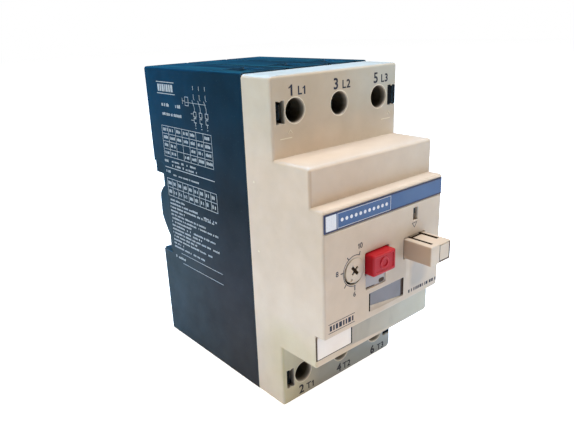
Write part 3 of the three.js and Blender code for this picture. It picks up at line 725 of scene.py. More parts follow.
def build_cover():
    cover = rounded("y", -HALF, HALF, BOTTOM, COVER_TOP, DECK, JOINT, corner=(1.1, 2.3, 1.4, 1.4),
                    rim0=1.05, rim1=0.28, steps=6, corner_steps=8, name="front_cover_shell")
    # z0, z1, front, back, corner radii, front rim
    tiers = (
        (CHIN_BOTTOM, MIDDLE_TOP, MIDDLE, DECK + 4, (1.0, 1.5, 1.2, 1.2), 1.15),
        (CHIN_BOTTOM, -10, CHIN, MIDDLE + 4, (1.0, 1.5, 0.6, 0.6), 0.55),
        (PANEL_BOTTOM, PANEL_TOP, PANEL, MIDDLE + 4, (0.9, 1.3, 1.1, 1.1), 1.0),
    )
    fuse(cover, *(rounded("y", -HALF, HALF, z0, z1, y0, y1, corner=corner, rim0=rim, rim1=0.1,
                          steps=6, corner_steps=8) for z0, z1, y0, y1, corner, rim in tiers))
    # hollow each tier
    wall = 2
    inner = HALF - wall
    cut(cover,
        block(-inner, inner, DECK + wall, JOINT + 2, BOTTOM + wall, COVER_TOP - wall),
        block(-inner, inner, MIDDLE + wall, JOINT, CHIN_BOTTOM + wall, MIDDLE_TOP - wall),
        block(-inner, inner, PANEL + 2.2, MIDDLE + 3, PANEL_BOTTOM + wall, PANEL_TOP - wall))
    # a boss with a hole in front of each terminal screw
    fuse(cover, *(prism("y", circle(x, z, 5.2), DECK + 1, -67.5) for x, z in SCREWS))
    tools = [cutter("y", circle(x, z, 4.0), DECK, 12, chamfer=0.28) for x, z in SCREWS]
    for z0, z1 in ((46.4, 53.9), (-52.7, -45.0)):
        tools.append(cutter("y", clip_slot(-28.75, -25.1, -26.925, z0, z1), DECK, 2.6))
        tools.append(cutter("y", clip_slot(25.6, HALF + 2, 28.0, z0, z1), DECK, 4.6))
    # panel openings: outline, depth, chamfer
    openings = (
        (round_rect(-11.35, 0.85, -4.65, 3.65, 0.5, 4), 5, 0.12),  # stop button
        (round_rect(9.05, 21.25, -4.85, 3.25, 0.4, 4), 5, 0.12),  # start button
        (circle(-16.67, -1.09, 4.74, 96), 5, 0.08),  # dial
        (round_rect(14.1, 16.5, 8.7, 13.4, 0.25, 3), 5, 0.22),  # test slide
        (round_rect(-9.1, 9.7, -19.4, -12.0, 0.25, 3), 5, 0.10),  # window
        (round_rect(-10.8, -0.5, -10.0, -4.2, 0.6, 4), 0.7, 0.25),  # pocket under the stop button
    )
    tools += [cutter("y", outline, PANEL, depth, chamfer) for outline, depth, chamfer in openings]
    # recesses of the band and of the marking plate
    tools.append(block(-30.45, HALF + 1, PANEL - 1, PANEL + 0.3, 15.05, 21.95))
    tools.append(cutter("y", round_rect(-30.42, -12.7, -31.8, -22.3, 0.25, 3), CHIN, 0.5))
    cut(cover, *tools)
    # ramp along the foot of the window opening
    shallow = [(-9.2, -19.6), (9.9, -19.6), (9.9, -19.25), (-8.7, -19.15), (-9.2, -19.15)]
    deep = [(-9.2, -19.6), (9.9, -19.6), (9.9, -19.3), (-8.7, -16.9), (-9.2, -16.9)]
    fuse(cover, solid([place("y", shallow, PANEL + 0.02), place("y", deep, PANEL + 0.42)]))
    finish(cover, ROOT, COVER, "front_cover", angle=34)


build_base()
build_cover()


# ------------------------------------------------------------------ flat shapes and lettering
LIFT, THICK = 0.004, 0.03  # gap under a print, and its thickness


def flat(outline, face, thick=THICK, axis="y", lift=LIFT):
    """A thin raised shape on a face that looks along -axis."""
    return prism(axis, outline, face - lift - thick, face - lift)


def pen(points, width, face, **options):
    """A polyline as one flat bar per segment."""
    bars = []
    for start, end in zip(points, points[1:]):
        start, end = Vector(start), Vector(end)
        along = (end - start).normalized()
        half = Vector((-along.y, along.x)) * (width / 2)
        corners = (start - half, end - half, end + half, start + half)
        bars.append(flat([tuple(corner) for corner in corners], face, **options))
    return bars


def arc_band(x, z, inner, outer, start, end, segments=48):
    """Part of a flat ring between two angles in degrees."""
    angles = [math.radians(start + (end - start) * k / segments) for k in range(segments + 1)]
    return [(x + outer * math.cos(t), z + outer * math.sin(t)) for t in angles] + [
        (x + inner * math.cos(t), z + inner * math.sin(t)) for t in reversed(angles)
    ]


def sign_mesh(character):
    curve = bpy.data.curves.new("text", "FONT")
    curve.body, curve.size, curve.resolution_u = character, 1.0, 5
    sign = add_object("text", curve)
    graph = bpy.context.evaluated_depsgraph_get()
    mesh = bpy.data.meshes.new_from_object(sign.evaluated_get(graph), depsgraph=graph)
    bpy.data.objects.remove(sign)
    return mesh


capital = [v.co.y for v in sign_mesh("L").vertices]
CAPITAL_HEIGHT = max(capital) - min(capital)


def thicken(work, distance):
    """Pushes the outline of a flat sign outward in its plane."""
    pushes = {}
    for edge in [e for e in work.edges if len(e.link_faces) == 1]:
        first, second = edge.verts
        along = second.co - first.co
        outward = Vector((along.y, -along.x, 0)).normalized()
        middle = (first.co + second.co) / 2
        if outward.dot(middle - edge.link_faces[0].calc_center_median()) < 0:
            outward = -outward
        for vert in (first, second):
            pushes.setdefault(vert, []).append(outward)
    for vert, directions in pushes.items():
        total = sum(directions, Vector((0, 0, 0)))
        if total.length > 1e-6:
            vert.co += total.normalized() * distance


def figure_one(x, height, face, bold):
    """An upright 1 with a flag, and its width."""
    stem = 0.15 * height + 2 * bold
    left = 0.22 * height
    right = left + stem
    outline = [
        (left, 0), (right, 0), (right, height), (left + 0.25 * stem, height),
        (left - 0.04 * height, 0.88 * height), (0, 0.78 * height), (0, 0.66 * height),
        (left, 0.74 * height),
    ]
    return flat([(x + a, b) for a, b in outline], face), right


def font_sign(character, x, height, face, bold):
    """A raised sign in the built-in font, and its width."""
    scale = height / CAPITAL_HEIGHT
    work = bmesh.new()
    work.from_mesh(sign_mesh(character))
    bmesh.ops.remove_doubles(work, verts=work.verts, dist=1e-5)
    thicken(work, bold / scale)
    across = [v.co.x for v in work.verts]
    left, foot = min(across), min(v.co.y for v in work.verts)
    for v in work.verts:
        v.co = Vector(((x + (v.co.x - left) * scale) * MM, (face - LIFT) * MM,
                       (v.co.y - foot) * scale * MM))
    raised = bmesh.ops.extrude_face_region(work, geom=work.faces[:])
    for item in raised["geom"]:
        if isinstance(item, bmesh.types.BMVert):
            item.co.y -= THICK * MM
    bmesh.ops.recalc_face_normals(work, faces=work.faces)
    mesh = bpy.data.meshes.new("text")
    work.to_mesh(mesh)
    work.free()
    return add_object("text", mesh), (max(across) - left) * scale


def text(body, x, z, height, face, bold, gap=0.15, right=False):
    """Raised signs with their lower left (or lower right) corner at (x, z)."""
    signs, reach = [], 0.0
    for character in body:
        draw = figure_one if character == "1" else lambda *size: font_sign(character, *size)
        sign, width = draw(reach, height, face, bold)
        signs.append(sign)
        reach += width + gap * height
    if right:
        x -= reach - gap * height
    word = join("text", signs)
    for v in word.data.vertices:
        v.co.x += x * MM
        v.co.z += z * MM
    return word


# ------------------------------------------------------------------ marks printed on the cover
# number, pole mark, left x of the number, right x of the mark, z of each
LINE_MARKS = (
    ("1", "L1", -23.0, -15.8, 55.0, 55.0),
    ("3", "L2", -2.7, 5.5, 54.95, 55.0),
    ("5", "L3", 17.8, 25.6, 55.15, 55.2),
)
LOAD_MARKS = (
    ("2", "T1", -22.9, -15.3, -57.9, -57.7),
    ("4", "T2", -2.5, 5.5, -57.95, -57.8),
    ("6", "T3", 17.9, 26.4, -58.4, -58.3),
)
# ticks round the dial: x, z of the inner and outer ends from its centre
DIAL_TICKS = (
    (-5.5, 0.75, -6.7, 0.8), (-2.95, 4.6, -3.6, 5.6), (-4.1, -3.7, -5.0, -4.8),
    (2.1, 4.9, 2.5, 6.2), (0.0, -5.5, 0.0, -7.2),
)


def terminal_marks(rows, number_height, number_bold, mark_height, mark_bold):
    marks = []
    for number, mark, number_x, mark_x, number_z, mark_z in rows:
        marks.append(text(number, number_x, number_z, number_height, DECK, number_bold))
        marks.append(text(mark, mark_x, mark_z, mark_height, DECK, mark_bold, gap=0.1, right=True))
    return marks


def code_bars(rng):
    """Two rules with a row of bars between them, lower left of the panel."""
    marks = [flat(rect(-28.9, -16.4, z - 0.11, z + 0.11), PANEL) for z in (-16.4, -19.7)]
    x = -28.3
    while x < -17.2:
        width = min(rng.choice((0.7, 1.0, 1.3)), -16.9 - x)
        marks.append(flat(rect(x, x + width, -19.0, -17.1), PANEL))
        x += width + 0.55
    return marks


def small_print(rng):
    """A row of short bars, lower right of the panel."""
    marks = []
    x = 12.6
    while x < 29.2:
        width = rng.choice((0.5, 0.8, 1.1))
        marks.append(flat(rect(x, x + width, -19.4, -18.15), PANEL))
        x += width + rng.choice((0.35, 0.45, 0.9))
    return marks


def build_cover_marks():
    marks = terminal_marks(LINE_MARKS, 3.55, 0.13, 2.7, 0.11)
    marks += terminal_marks(LOAD_MARKS, 3.5, 0.15, 2.65, 0.10)
    # current scale round the dial
    marks.append(flat(arc_band(DIAL_X, DIAL_Z, 5.32, 5.58, 66, 274), PANEL))
    for x0, z0, x1, z1 in DIAL_TICKS:
        ends = [(DIAL_X + x0, DIAL_Z + z0), (DIAL_X + x1, DIAL_Z + z1)]
        marks += pen(ends, 0.36, PANEL)
    marks.append(text("10", DIAL_X + 1.4, 6.35, 1.8, PANEL, bold=0.05))
    marks.append(text("8", DIAL_X - 8.9, -0.5, 1.75, PANEL, bold=0.04))
    marks.append(text("6", DIAL_X - 0.7, -10.35, 1.75, PANEL, bold=0.04))
    # outlined triangle under the test slide
    marks += pen([(13.5, 7.9), (16.1, 7.9), (14.9, 6.1), (13.5, 7.9)], 0.22, PANEL)
    rng = random.Random(7)
    marks += code_bars(rng) + small_print(rng)
    finish_joined("cover_marks", marks, ROOT, INK_DARK)


def build_cover_emboss():
    parts = []
    # underlined arrow heads below the outer line terminals
    raised = {"thick": 0.12, "lift": -0.02}
    for x in (-27.4, 22.0):
        parts.append(flat(rect(x, x + 5.2, 41.45, 41.75), DECK, **raised))
        parts += pen([(x + 3.6, 43.0), (x + 4.5, 44.2), (x + 5.4, 43.0)], 0.22, DECK, **raised)
    # a raised rim round each terminal hole
    rim = ((4.22, DECK + 0.05), (4.25, DECK - 0.05), (4.42, DECK - 0.06), (4.5, DECK + 0.05))
    parts += [ring(x, z, rim) for x, z in SCREWS]
    # two dots on the left wall
    dot = ((0.5, -HALF + 0.05), (0.46, -HALF - 0.06), (0.3, -HALF - 0.1))  # radius, x
    for y, z in ((-66.0, 26.2), (-66.6, 0.9)):
        parts.append(solid([place("x", circle(y, z, radius, 20), x) for radius, x in dot]))
    # the raised marks are painted lighter, as a painted highlight
    finish_joined("cover_emboss", parts, ROOT, RIM_HIGHLIGHT)


def build_cover_gaps():
    """The pocket's floor, painted grey as the stop button's shadow, and painted shadow lines in the
    gaps round the parts let into the cover.
    """
    # the pocket's floor, painted grey as the stop button's shadow
    floor = prism("y", round_rect(-10.6, -0.7, -9.8, -4.4, 0.5, 4), PANEL + 0.35, PANEL + 0.69)
    finish_joined("cover_pocket_shadow", [floor], ROOT, POCKET_SHADOW_GREY)

    # painted shade: a dark line along the pocket's lower edge and a dark blot on its floor
    pocket_edge = [(-10.5, -9.78), (-6.2, -9.78), (-6.2, -9.5), (-10.5, -9.3)]
    pocket_blot = round_rect(-3.9, -1.1, -9.6, -8.1, 0.6, 3)
    window = mm_box("window_insert")[2]
    lines = [prism("y", outline, PANEL + 0.28, PANEL + 0.36)
             for outline in (pocket_edge, pocket_blot)]
    lines += [
        # painted shadow left of and under the marking plate
        block(-30.36, -29.76, CHIN + 0.08, CHIN + 0.45, -31.75, -22.4),
        block(-29.76, -13.3, CHIN + 0.08, CHIN + 0.45, -31.78, -31.55),
        # painted shadow at the right end of the window
        block(8.72, 9.02, window - 0.12, window + 0.05, -18.9, -12.4),
        block(9.44, 9.7, PANEL + 0.06, PANEL + 1.2, -18.9, -12.1),
    ]
    finish_joined("cover_gap_shadow_lines", lines, ROOT, GAP_SHADOW_BROWN)

    # painted shadow in the gap round the dial, and at the right end of the marking plate
    dial_gap = [(4.44, PANEL + 0.62), (5.3, PANEL + 0.62), (5.3, PANEL + 1.2),
                (4.44, PANEL + 1.2)]
    dark = [block(-13.28, -12.74, CHIN - 0.01, CHIN + 0.4, -31.75, -22.35),
            ring(DIAL_X, DIAL_Z, dial_gap, 72)]
    finish_joined("cover_gap_shadows", dark, ROOT, GAP_SHADOW_BLACK)


# ------------------------------------------------------------------ band, marking plate, window
def build_band():
    x0, x1, _, _, z0, z1 = mm_box("front_band")
    face = PANEL - 0.02
    strip = rounded("y", x0, x1, z0, z1, face, PANEL + 0.28, corner=0.25, rim0=0.06, rim1=0.04,
                    steps=2, name="front_band_strip")
    finish(strip, ROOT, BLUE, "front_band")
    # border along the top, bottom and left
    margin = 0.05
    x0, x1, z0, z1 = x0 + margin, x1 - margin, z0 + margin, z1 - margin
    border = [flat(outline, face) for outline in (
        rect(x0, x1, z1 - 0.42, z1),
        rect(x0, x1, z0, z0 + 0.48),
        rect(x0, x0 + 0.5, z0 + 0.48, z1 - 0.42),
    )]
    finish_joined("front_band_border", border, ROOT, BORDER)
    # a filled square at the left, then a thin frame
    marks = [flat(round_rect(x0 + 0.6, x0 + 5.2, z0 + 0.58, z1 - 0.52, 0.2, 3), face)]
    line = 0.14
    x0, x1, z0, z1 = x0 + 5.75, 1.3, z0 + 0.55, z1 - 0.55
    marks += [flat(outline, face) for outline in (
        rect(x0, x1, z1 - line, z1),
        rect(x0, x1, z0, z0 + line),
        rect(x0, x0 + line, z0 + line, z1 - line),
        rect(x1 - line, x1, z0 + line, z1 - line),
    )]
    # a plain row of round dots in the middle of the frame
    for k in range(11):
        marks.append(flat(circle(x0 + 2.0 + k * 2.14, (z0 + z1) / 2, 0.62, 24), face))
    finish_joined("front_band_print", marks, ROOT, INK_WHITE)


def build_label_plate():
    x0, x1, y0, y1, z0, z1 = mm_box("label_plate")
    card = rounded("y", x0, x1, z0, z1, y0 - 0.03, y1, rim0=0.12, rim1=0.05, steps=3,
                   corner=0.3, name="label_plate_card")
    finish(card, ROOT, WHITE, "label_plate")


def build_window():
    x0, x1, y0, y1, z0, z1 = mm_box("window_insert")
    plate = rounded("y", x0, x1, z0, z1, -96.95, y1, corner=0.3, rim0=0.08, rim1=0.08, steps=3,
                    name="window_insert_plate")
    fuse(plate, rounded("y", -8.62, 9.42, -19.12, -12.18, y0, -96.6, corner=0.25, rim0=0.1,
                        rim1=0.02, steps=3))
    finish(plate, ROOT, WINDOW, "window_insert")
    # a painted shadow in the gap left of the window
    gap = block(-9.1, -8.5, PANEL + 0.06, PANEL + 1.2, -19.3, -12.0)
    finish_joined("window_insert_gap_shadow", [gap], ROOT, GAP_SHADOW_BLACK)


# ------------------------------------------------------------------ controls
CAP_BACK, FLANGE_FRONT = -95.3, -97.0  # y of the buttons' caps and flanges
STOP = (-11.0, 0.5, -4.3, 3.3)  # x0, x1, z0, z1 of the caps
START = (9.4, 20.9, -4.5, 2.9)
# grooves in the top of the start button: x0, x1, y0, y1, gap left along x by the dark inlay of
# painted shade. The inlay of the last one reaches into the two others.
START_GROOVES = (
    (11.6, 12.9, -109.2, -98.6, 0.02),
    (17.7, 19.3, -107.1, -98.6, 0.02),
    (12.9, 17.7, -100.6, -99.5, -0.02),
)


def build_stop_button():
    _, x1, front, back, z0, z1 = mm_box("stop_button")
    cap = rounded("y", *STOP, front, CAP_BACK, corner=0.85, rim0=0.62, rim1=0.05, steps=6,
                  name="stop_button_cap")
    fuse(cap, block(-10.6, x1, FLANGE_FRONT, CAP_BACK, z0, z1),
         block(-9.5, -6.5, -96, back, -2.5, 1.5))
    # shallow framed field with a raised ring
    cap_x0, cap_x1, cap_z0, cap_z1 = STOP
    field = round_rect(cap_x0 + 1.25, cap_x1 - 1.15, cap_z0 + 1.05, cap_z1 - 1.05, 0.5, 5)
    cut(cap, cutter("y", field, front, 0.34, chamfer=0.12))
    profile = [(2.1, front + 0.5), (2.1, front + 0.08), (1.98, front), (1.5, front),
               (1.38, front + 0.08), (1.38, front + 0.5)]
    fuse(cap, ring((cap_x0 + cap_x1) / 2, (cap_z0 + cap_z1) / 2, profile))
    finish(cap, "stop_button", RED, "stop_button")


def build_start_button():
    x0, x1, front, _, z0, z1 = mm_box("start_button")
    tongue_x0, tongue_x1, _, tongue_back, tongue_z0, tongue_z1 = mm_box("padlock_tongue")
    top = START[3]
    cap = rounded("y", *START, front, CAP_BACK, corner=0.55, rim0=0.42, rim1=0.05,
                  name="start_button_cap")
    fuse(cap, block(x0, x1, FLANGE_FRONT, CAP_BACK, z0, z1))
    opening = rect(tongue_x0 - 0.3, tongue_x1 + 0.3, tongue_z0 - 0.25, tongue_z1 + 0.25)
    cut(cap, cutter("y", opening, front, tongue_back - front + 0.3),
        *(block(*groove[:4], top - 0.5, top + 1) for groove in START_GROOVES))
    finish(cap, "start_button", PALE, "start_button")

    # painted shade: dark inlays in the grooves
    inlay = [block(x0 + gap, x1 - gap, y0 + 0.02, y1 - 0.02, top - 0.48, top - 0.02)
             for x0, x1, y0, y1, gap in START_GROOVES]
    finish_joined("start_button_groove_shade", inlay, "start_button", SLOT_SHADE_BROWN)

    # painted shadow lines in the gaps left, right and under the tongue
    z0, z1, back = tongue_z0, tongue_z1, front + 1.4
    right = tongue_x1 - 0.12
    lines = [block(14.2, 14.55, front + 0.03, back, z0 - 0.2, z1 + 0.2),
             block(right, tongue_x1 + 0.29, front + 0.02, back, z0 - 0.2, z1 + 0.2),
             block(14.55, right, front + 0.02, back, z0 - 0.24, z0 + 0.08)]
    finish_joined("start_button_gap_shadows", lines, "start_button", GAP_SHADOW_BROWN)


def build_tongue():
    x0, x1, y0, y1, z0, z1 = mm_box("padlock_tongue")
    tongue = rounded("y", x0 + 0.08, x1 - 0.15, z0 + 0.1, z1, y0, y1, corner=0.3, rim0=0.22,
                     rim1=0.15, steps=4, name="padlock_tongue_bar")
    cut(tongue, prism("x", circle(-105.0, -0.75, 1.8), x0 - 2, x1 + 2))
    finish(tongue, "padlock_tongue", PALE, "padlock_tongue")


def on_dial(outline, angle=math.radians(42)):
    """Turns an outline with the dial's cross slot and moves it to the dial's centre."""
    cos, sin = math.cos(angle), math.sin(angle)
    return [(DIAL_X + a * cos - b * sin, DIAL_Z + a * sin + b * cos) for a, b in outline]


def build_dial():
    front = mm_box("rating_dial")[2] - 0.7
    # radius, y: knob, flange, then shaft
    profile = [(4.05, front), (4.27, front + 0.06), (4.36, front + 0.24), (4.36, -97.0),
               (5.0, -97.0), (5.0, -95.7), (2.0, -95.7), (2.0, -84.0)]
    knob = turned(DIAL_X, DIAL_Z, profile, 72, "rating_dial_knob")
    # an offset disc at the shaft's end
    disc = [(2.9, -86.0), (3.0, -85.9), (3.0, -84.1), (2.9, -84.0)]
    fuse(knob, turned(DIAL_X + 1, DIAL_Z, disc, 40))
    cut(knob, cutter("y", on_dial(rect(-1.75, 1.75, -0.42, 0.42)), front, 1.3, chamfer=0.08),
        cutter("y", on_dial(rect(-0.60, 0.60, -2.1, 2.1)), front, 1.3, chamfer=0.08),
        cutter("y", circle(DIAL_X - 1.7, DIAL_Z - 3.0, 0.5, 24), front, 0.35, chamfer=0.08))
    finish(knob, "rating_dial", CREAM, "rating_dial")
    # a dark inlay of painted shade in the cross slot
    y0, y1 = front + 0.25, front + 1.29
    inlay = prism("y", on_dial(round_rect(-1.72, 1.72, -0.39, 0.39, 0.15, 3)), y0, y1,
                  "rating_dial_slot_shade")
    fuse(inlay, prism("y", on_dial(rect(-0.57, 0.57, -2.07, 2.07)), y0, y1))
    finish(inlay, "rating_dial", SLOT_SHADE_BROWN, angle=60, weighted=False)


def build_test_slide():
    x0, x1, front, _, z0, z1 = mm_box("test_slide")
    slide = rounded("y", 14.4, 16.2, 10.9, 13.1, front, -96.4, corner=0.25, rim0=0.2, rim1=0.05,
                    steps=3, name="test_slide_block")
    fuse(slide, rounded("y", x0, x1, z0, z1, -97.0, -96.0, corner=0.3, rim0=0.1, rim1=0.1,
                        steps=2))
    finish(slide, "test_slide", BLACK, "test_slide")


# ------------------------------------------------------------------ screws, springs, rail latch
def build_screw(node):
    _, _, front, tip, _, _ = mm_box(node)
    x, z = centre(node)
    # radius, y: the head, the threads, then the tip
    profile = [(2.5, front), (3.0, front + 0.08), (3.35, front + 0.28), (3.5, front + 0.6),
               (3.5, front + 2.4), (3.38, front + 2.55), (2.0, front + 2.6)]
    crest, root, pitch = 1.98, 1.72, 0.8
    y = front + 3.4
    while y < tip - 1.4:
        profile += [(crest, y), (root, y + 0.25), (root, y + 0.45), (crest, y + 0.7)]
        y += pitch
    profile += [(crest, tip - 0.7), (1.3, tip)]
    screw = turned(x, z, profile, 40, f"{node}_head")
    # a slot right across the head, and a short one down it
    cut(screw, *(cutter("y", rect(x - a, x + a, z - b, z + b), front, 1.2, chamfer=0.12)
                 for a, b in ((4, 0.5), (0.5, 2.2))))
    finish(screw, node, ZINC, node)


def build_spring(node, body=ROOT, axis="y", wire=0.3, turns=4.5):
    """A coil with closed end turns; wire is the wire's radius."""
    x0, x1, y0, y1, z0, z1 = mm_box(node)
    if axis == "y":
        centre_b, start, end = (z0 + z1) / 2, y0 + wire, y1 - wire
    else:
        centre_b, start, end = (y0 + y1) / 2, z0 + wire, z1 - wire
    centre_a, coil_radius, length = (x0 + x1) / 2, (x1 - x0) / 2 - wire, end - start
    end_share = 1.0 / turns
    steps, sides = int(turns * 28), 10
    loops = []
    for i in range(steps + 1):
        u = i / steps
        if u < end_share:
            rise = wire * u / end_share
        elif u > 1 - end_share:
            rise = length - wire * (1 - u) / end_share
        else:
            rise = wire + (length - 2 * wire) * (u - end_share) / (1 - 2 * end_share)
        turn = 2 * math.pi * turns * u
        loop = []
        for k in range(sides):
            t = 2 * math.pi * k / sides
            radius = coil_radius + wire * math.cos(t)
            a, b = centre_a + radius * math.cos(turn), centre_b + radius * math.sin(turn)
            along = start + rise + wire * math.sin(t)
            loop.append((a, along, b) if axis == "y" else (a, b, along))
        loops.append(loop)
    coil = solid(loops, f"{node}_coil")
    finish(coil, body, WIRE, node, angle=60, weighted=False)
    return coil


def build_springs():
    # button, wire radius, turns, travel
    for button, wire, turns, travel in (("start", 0.42, 9, 8.0), ("stop", 0.33, 11, 3.0)):
        node = f"{button}_spring"
        coil = build_spring(node, wire=wire, turns=turns)
        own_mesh(coil)
    coil = build_spring("rail_latch_spring", axis="z", turns=8)
    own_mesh(coil)
    for i in (1, 2, 3):
        build_spring(f"contact_spring_{i}", body="contact_carrier")


def build_rail_latch():
    foot, back = -58.5, 4.9
    slider = rounded("z", -6.0, 6.0, 1.6, back, foot, -14.0, corner=0.4, steps=4,
                     name="rail_latch_slider")
    fuse(slider, rounded("z", -8.0, 8.0, 1.6, 3.3, foot, -18.0, corner=0.25, rim0=0.25,
                         rim1=0.25, steps=3))
    cut(slider, cutter("y", round_rect(-2.4, 2.4, -46.6, -26.0, 0.4, 4), back, -5, chamfer=0.2),
        cutter("y", round_rect(-3.0, 3.0, -57.0, -53.5, 0.6, 4), back, -5, chamfer=0.25),
        # finger grooves
        *(block(-5.0, 5.0, 4.6, 6.0, -51.6 + 1.2 * k, -51.1 + 1.2 * k) for k in range(4)))
    finish(slider, "rail_latch", BLACK, "rail_latch")


def finish_frame_nodes():
    """CAD nodes that keep their shape get a material, and most of them softened rims."""
    looks = {"latch_pin": ZINC, "mechanism_frame": STEEL, "latch_lever": STEEL,
             "trip_bar": BLACK, "contact_carrier": BLACK}
    per_pole = {"line_cage": BRASSY, "load_cage": BRASSY, "line_contact": COPPERY,
                "load_contact": COPPERY, "load_bar": COPPERY, "bridge": COPPERY,
                "bimetal": STEEL, "arc_chute": FIBRE, "trip_coil": WINDING, "plunger": STEEL}
    for i in (1, 2, 3):
        looks.update({f"{name}_{i}": material for name, material in per_pole.items()})
    for name, material in looks.items():
        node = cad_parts[name]
        paint(node, material)
        if not name.startswith(("trip_coil", "plunger", "latch_pin")):
            rim = node.modifiers.new("rim", "BEVEL")
            rim.width, rim.segments = 0.00012, 2
            rim.limit_method, rim.angle_limit = "ANGLE", math.radians(40)


# ------------------------------------------------------------------ print on the base's left side
# diagram of one pole, top to bottom: y from the pole's line and z of both ends
POLE_DIAGRAM = (
    (0, 56.4, 0, 54.9), (0, 53.4, 0, 51.6), (1.2, 51.2, 0, 48.4), (0, 48.4, 0, 46.8),
    (-0.9, 46.8, 0.9, 46.8), (-0.9, 45.0, 0.9, 45.0), (-0.9, 46.8, -0.9, 45.0),
    (0.9, 46.8, 0.9, 45.0), (0, 45.0, 0, 44.4), (-0.8, 44.4, 0.8, 44.4),
    (0.8, 44.4, 0.8, 42.8), (0.8, 42.8, -0.8, 42.8), (0, 42.8, 0, 41.4),
    (-0.35, 40.7, 0.35, 40.7),
)
# lines left of the poles: y0, z0, y1, z1, width
DIAGRAM_LINES = (
    (-25.5, 50.0, -39.6, 50.0, 0.16), (-25.2, 52.0, -27.6, 52.0, 0.2),
    (-25.2, 48.8, -27.6, 48.8, 0.2), (-25.2, 52.0, -25.2, 48.8, 0.2),
    (-27.6, 52.0, -27.6, 48.8, 0.2), (-23.4, 51.6, -23.4, 49.2, 0.2),
    (-23.4, 50.4, -25.2, 50.4, 0.2), (-28.8, 46.0, -30.4, 46.0, 0.2),
    (-28.8, 43.6, -30.4, 43.6, 0.2),
)
# short rows: y0, y1, z, height
ROWS_BY_DIAGRAM = ((-6.8, -13.2, 47.2, 1.3), (-17.6, -21.2, 47.2, 1.3), (-6.8, -21.6, 43.6, 1.2))
ROWS_UNDER_TABLE = (
    (-4.6, -8.0, 23.9, 1.1), (-10.4, -16.8, 24.3, 0.8), (-18.0, -23.0, 24.3, 0.9),
    (-24.6, -29.0, 24.3, 0.9), (-10.4, -19.5, 22.6, 0.9), (-21.0, -31.0, 22.5, 0.9),
    (-5.0, -9.2, 19.4, 1.2), (-10.6, -30.0, 18.6, 0.7),
)
# column edges of the two tables, as shares of their width
COLUMNS = (0, 0.14, 0.29, 0.43, 0.57, 0.71, 0.85, 1)
LOWER_COLUMNS = (0, 0.11, 0.22, 0.335, 0.445, 0.555, 0.665, 0.78, 0.89, 1)
# y at which each row of the fine print ends
FINE_PRINT_ENDS = (-18.0, -27.0, -40.0, -16.5, -33.0, -41.0, -22.0,
                   -39.0, -28.5, -41.0, -24.0, -36.0, -15.0, -30.0)


def build_side_print():
    """Rules, boxes, bars and a pole diagram without lettering; rows run towards -Y."""
    parts = []
    rng = random.Random(11)
    on_wall = {"thick": 0.02, "axis": "x"}

    def bar(y0, y1, z0, z1):
        parts.append(flat(rect(y1, y0, z0, z1), -HALF, **on_wall))

    def line(y0, z0, y1, z1, width=0.2):
        parts.extend(pen([(y0, z0), (y1, z1)], width, -HALF, **on_wall))

    def words(y0, y1, z, height, fill=0.9):
        """A row of small bars like distant print; a lower fill leaves more wide gaps."""
        y = y0
        while y > y1 + 0.5:
            width = rng.uniform(0.35, 0.75)
            bar(y, y - width, z, z + height * rng.uniform(0.72, 1.0))
            y -= width + 0.24
            if rng.random() < 0.2:
                y -= 0.65
            if rng.random() > fill:
                y -= 1.6

    def table(y0, y1, z0, z1, rows, columns, width=0.2):
        for k in range(rows + 1):
            z = z0 + (z1 - z0) * k / rows
            line(y0, z, y1, z, width)
        for share in columns:
            y = y0 + (y1 - y0) * share
            line(y, z0, y, z1, width)

    # code box
    bar(-4.2, -18.0, 56.6, 56.9)
    bar(-4.2, -18.0, 52.1, 52.4)
    y = -5.0
    for width in (1.3, 1.1, 1.5, 0.7, 1.4, 1.2, 1.5):
        bar(y, y - width, 53.1, 55.9)
        y -= width + 0.5
    # pole diagram
    for k in range(3):
        pole = -31.6 - 4.0 * k
        for y0, z0, y1, z1 in POLE_DIAGRAM:
            line(pole + y0, z0, pole + y1, z1, 0.24)
        line(pole - 0.5, 51.2, pole + 0.1, 52.0)
    for ends in DIAGRAM_LINES:
        line(*ends)
    for row in ROWS_BY_DIAGRAM:
        words(*row)
    # ruled table, with some cells left empty
    start, width, foot, row_height = -5.0, -36.5, 26.4, 3.2
    table(start, start + width, foot, 39.2, 4, COLUMNS)
    for row in range(4):
        for column in range(len(COLUMNS) - 1):
            if row == 1 and column in (2, 3) or rng.random() < 0.1:
                continue
            y0 = start + width * COLUMNS[column] - 0.9
            y1 = start + width * COLUMNS[column + 1] + 0.7
            words(y0, y1, foot + row_height * row + 1.1, 1.35, 1.0)
    line(-4.4, 21.7, -41.5, 21.7, 0.3)
    for row in ROWS_UNDER_TABLE:
        words(*row)
    # lower table
    start, foot = -4.9, 9.2
    table(start, -42.0, foot, 16.8, 2, LOWER_COLUMNS, 0.22)
    for row in range(2):
        for column in range(9):
            y0 = start - 37.1 * (column * 0.111) - 0.7
            words(y0, y0 - 2.6, foot + 3.8 * row + 1.2, 1.6, 1.0)
    # block of fine rows; every fifth is indented
    for k, end in enumerate(FINE_PRINT_ENDS):
        words(-5.3 - (0.0 if k % 5 else 0.6), end, 7.0 - 1.66 * k, 0.85, 0.97)
    words(-31.5, -41.0, 4.6, 0.8)
    line(-10.4, -16.4, -41.9, -16.4)
    line(-11.2, -21.0, -41.9, -21.0)
    words(-7.8, -13.5, -19.4, 1.0)
    words(-5.6, -6.6, -19.4, 1.2)
    finish_joined("base_side_print", parts, ROOT, INK_PALE)


build_cover_marks()
build_cover_emboss()
build_cover_gaps()
build_band()
build_label_plate()
build_window()
build_stop_button()
build_start_button()
build_tongue()
build_dial()
build_test_slide()
for i in (1, 2, 3):
    build_screw(f"line_screw_{i}")
    build_screw(f"load_screw_{i}")
build_springs()
build_rail_latch()
finish_frame_nodes()
build_side_print()


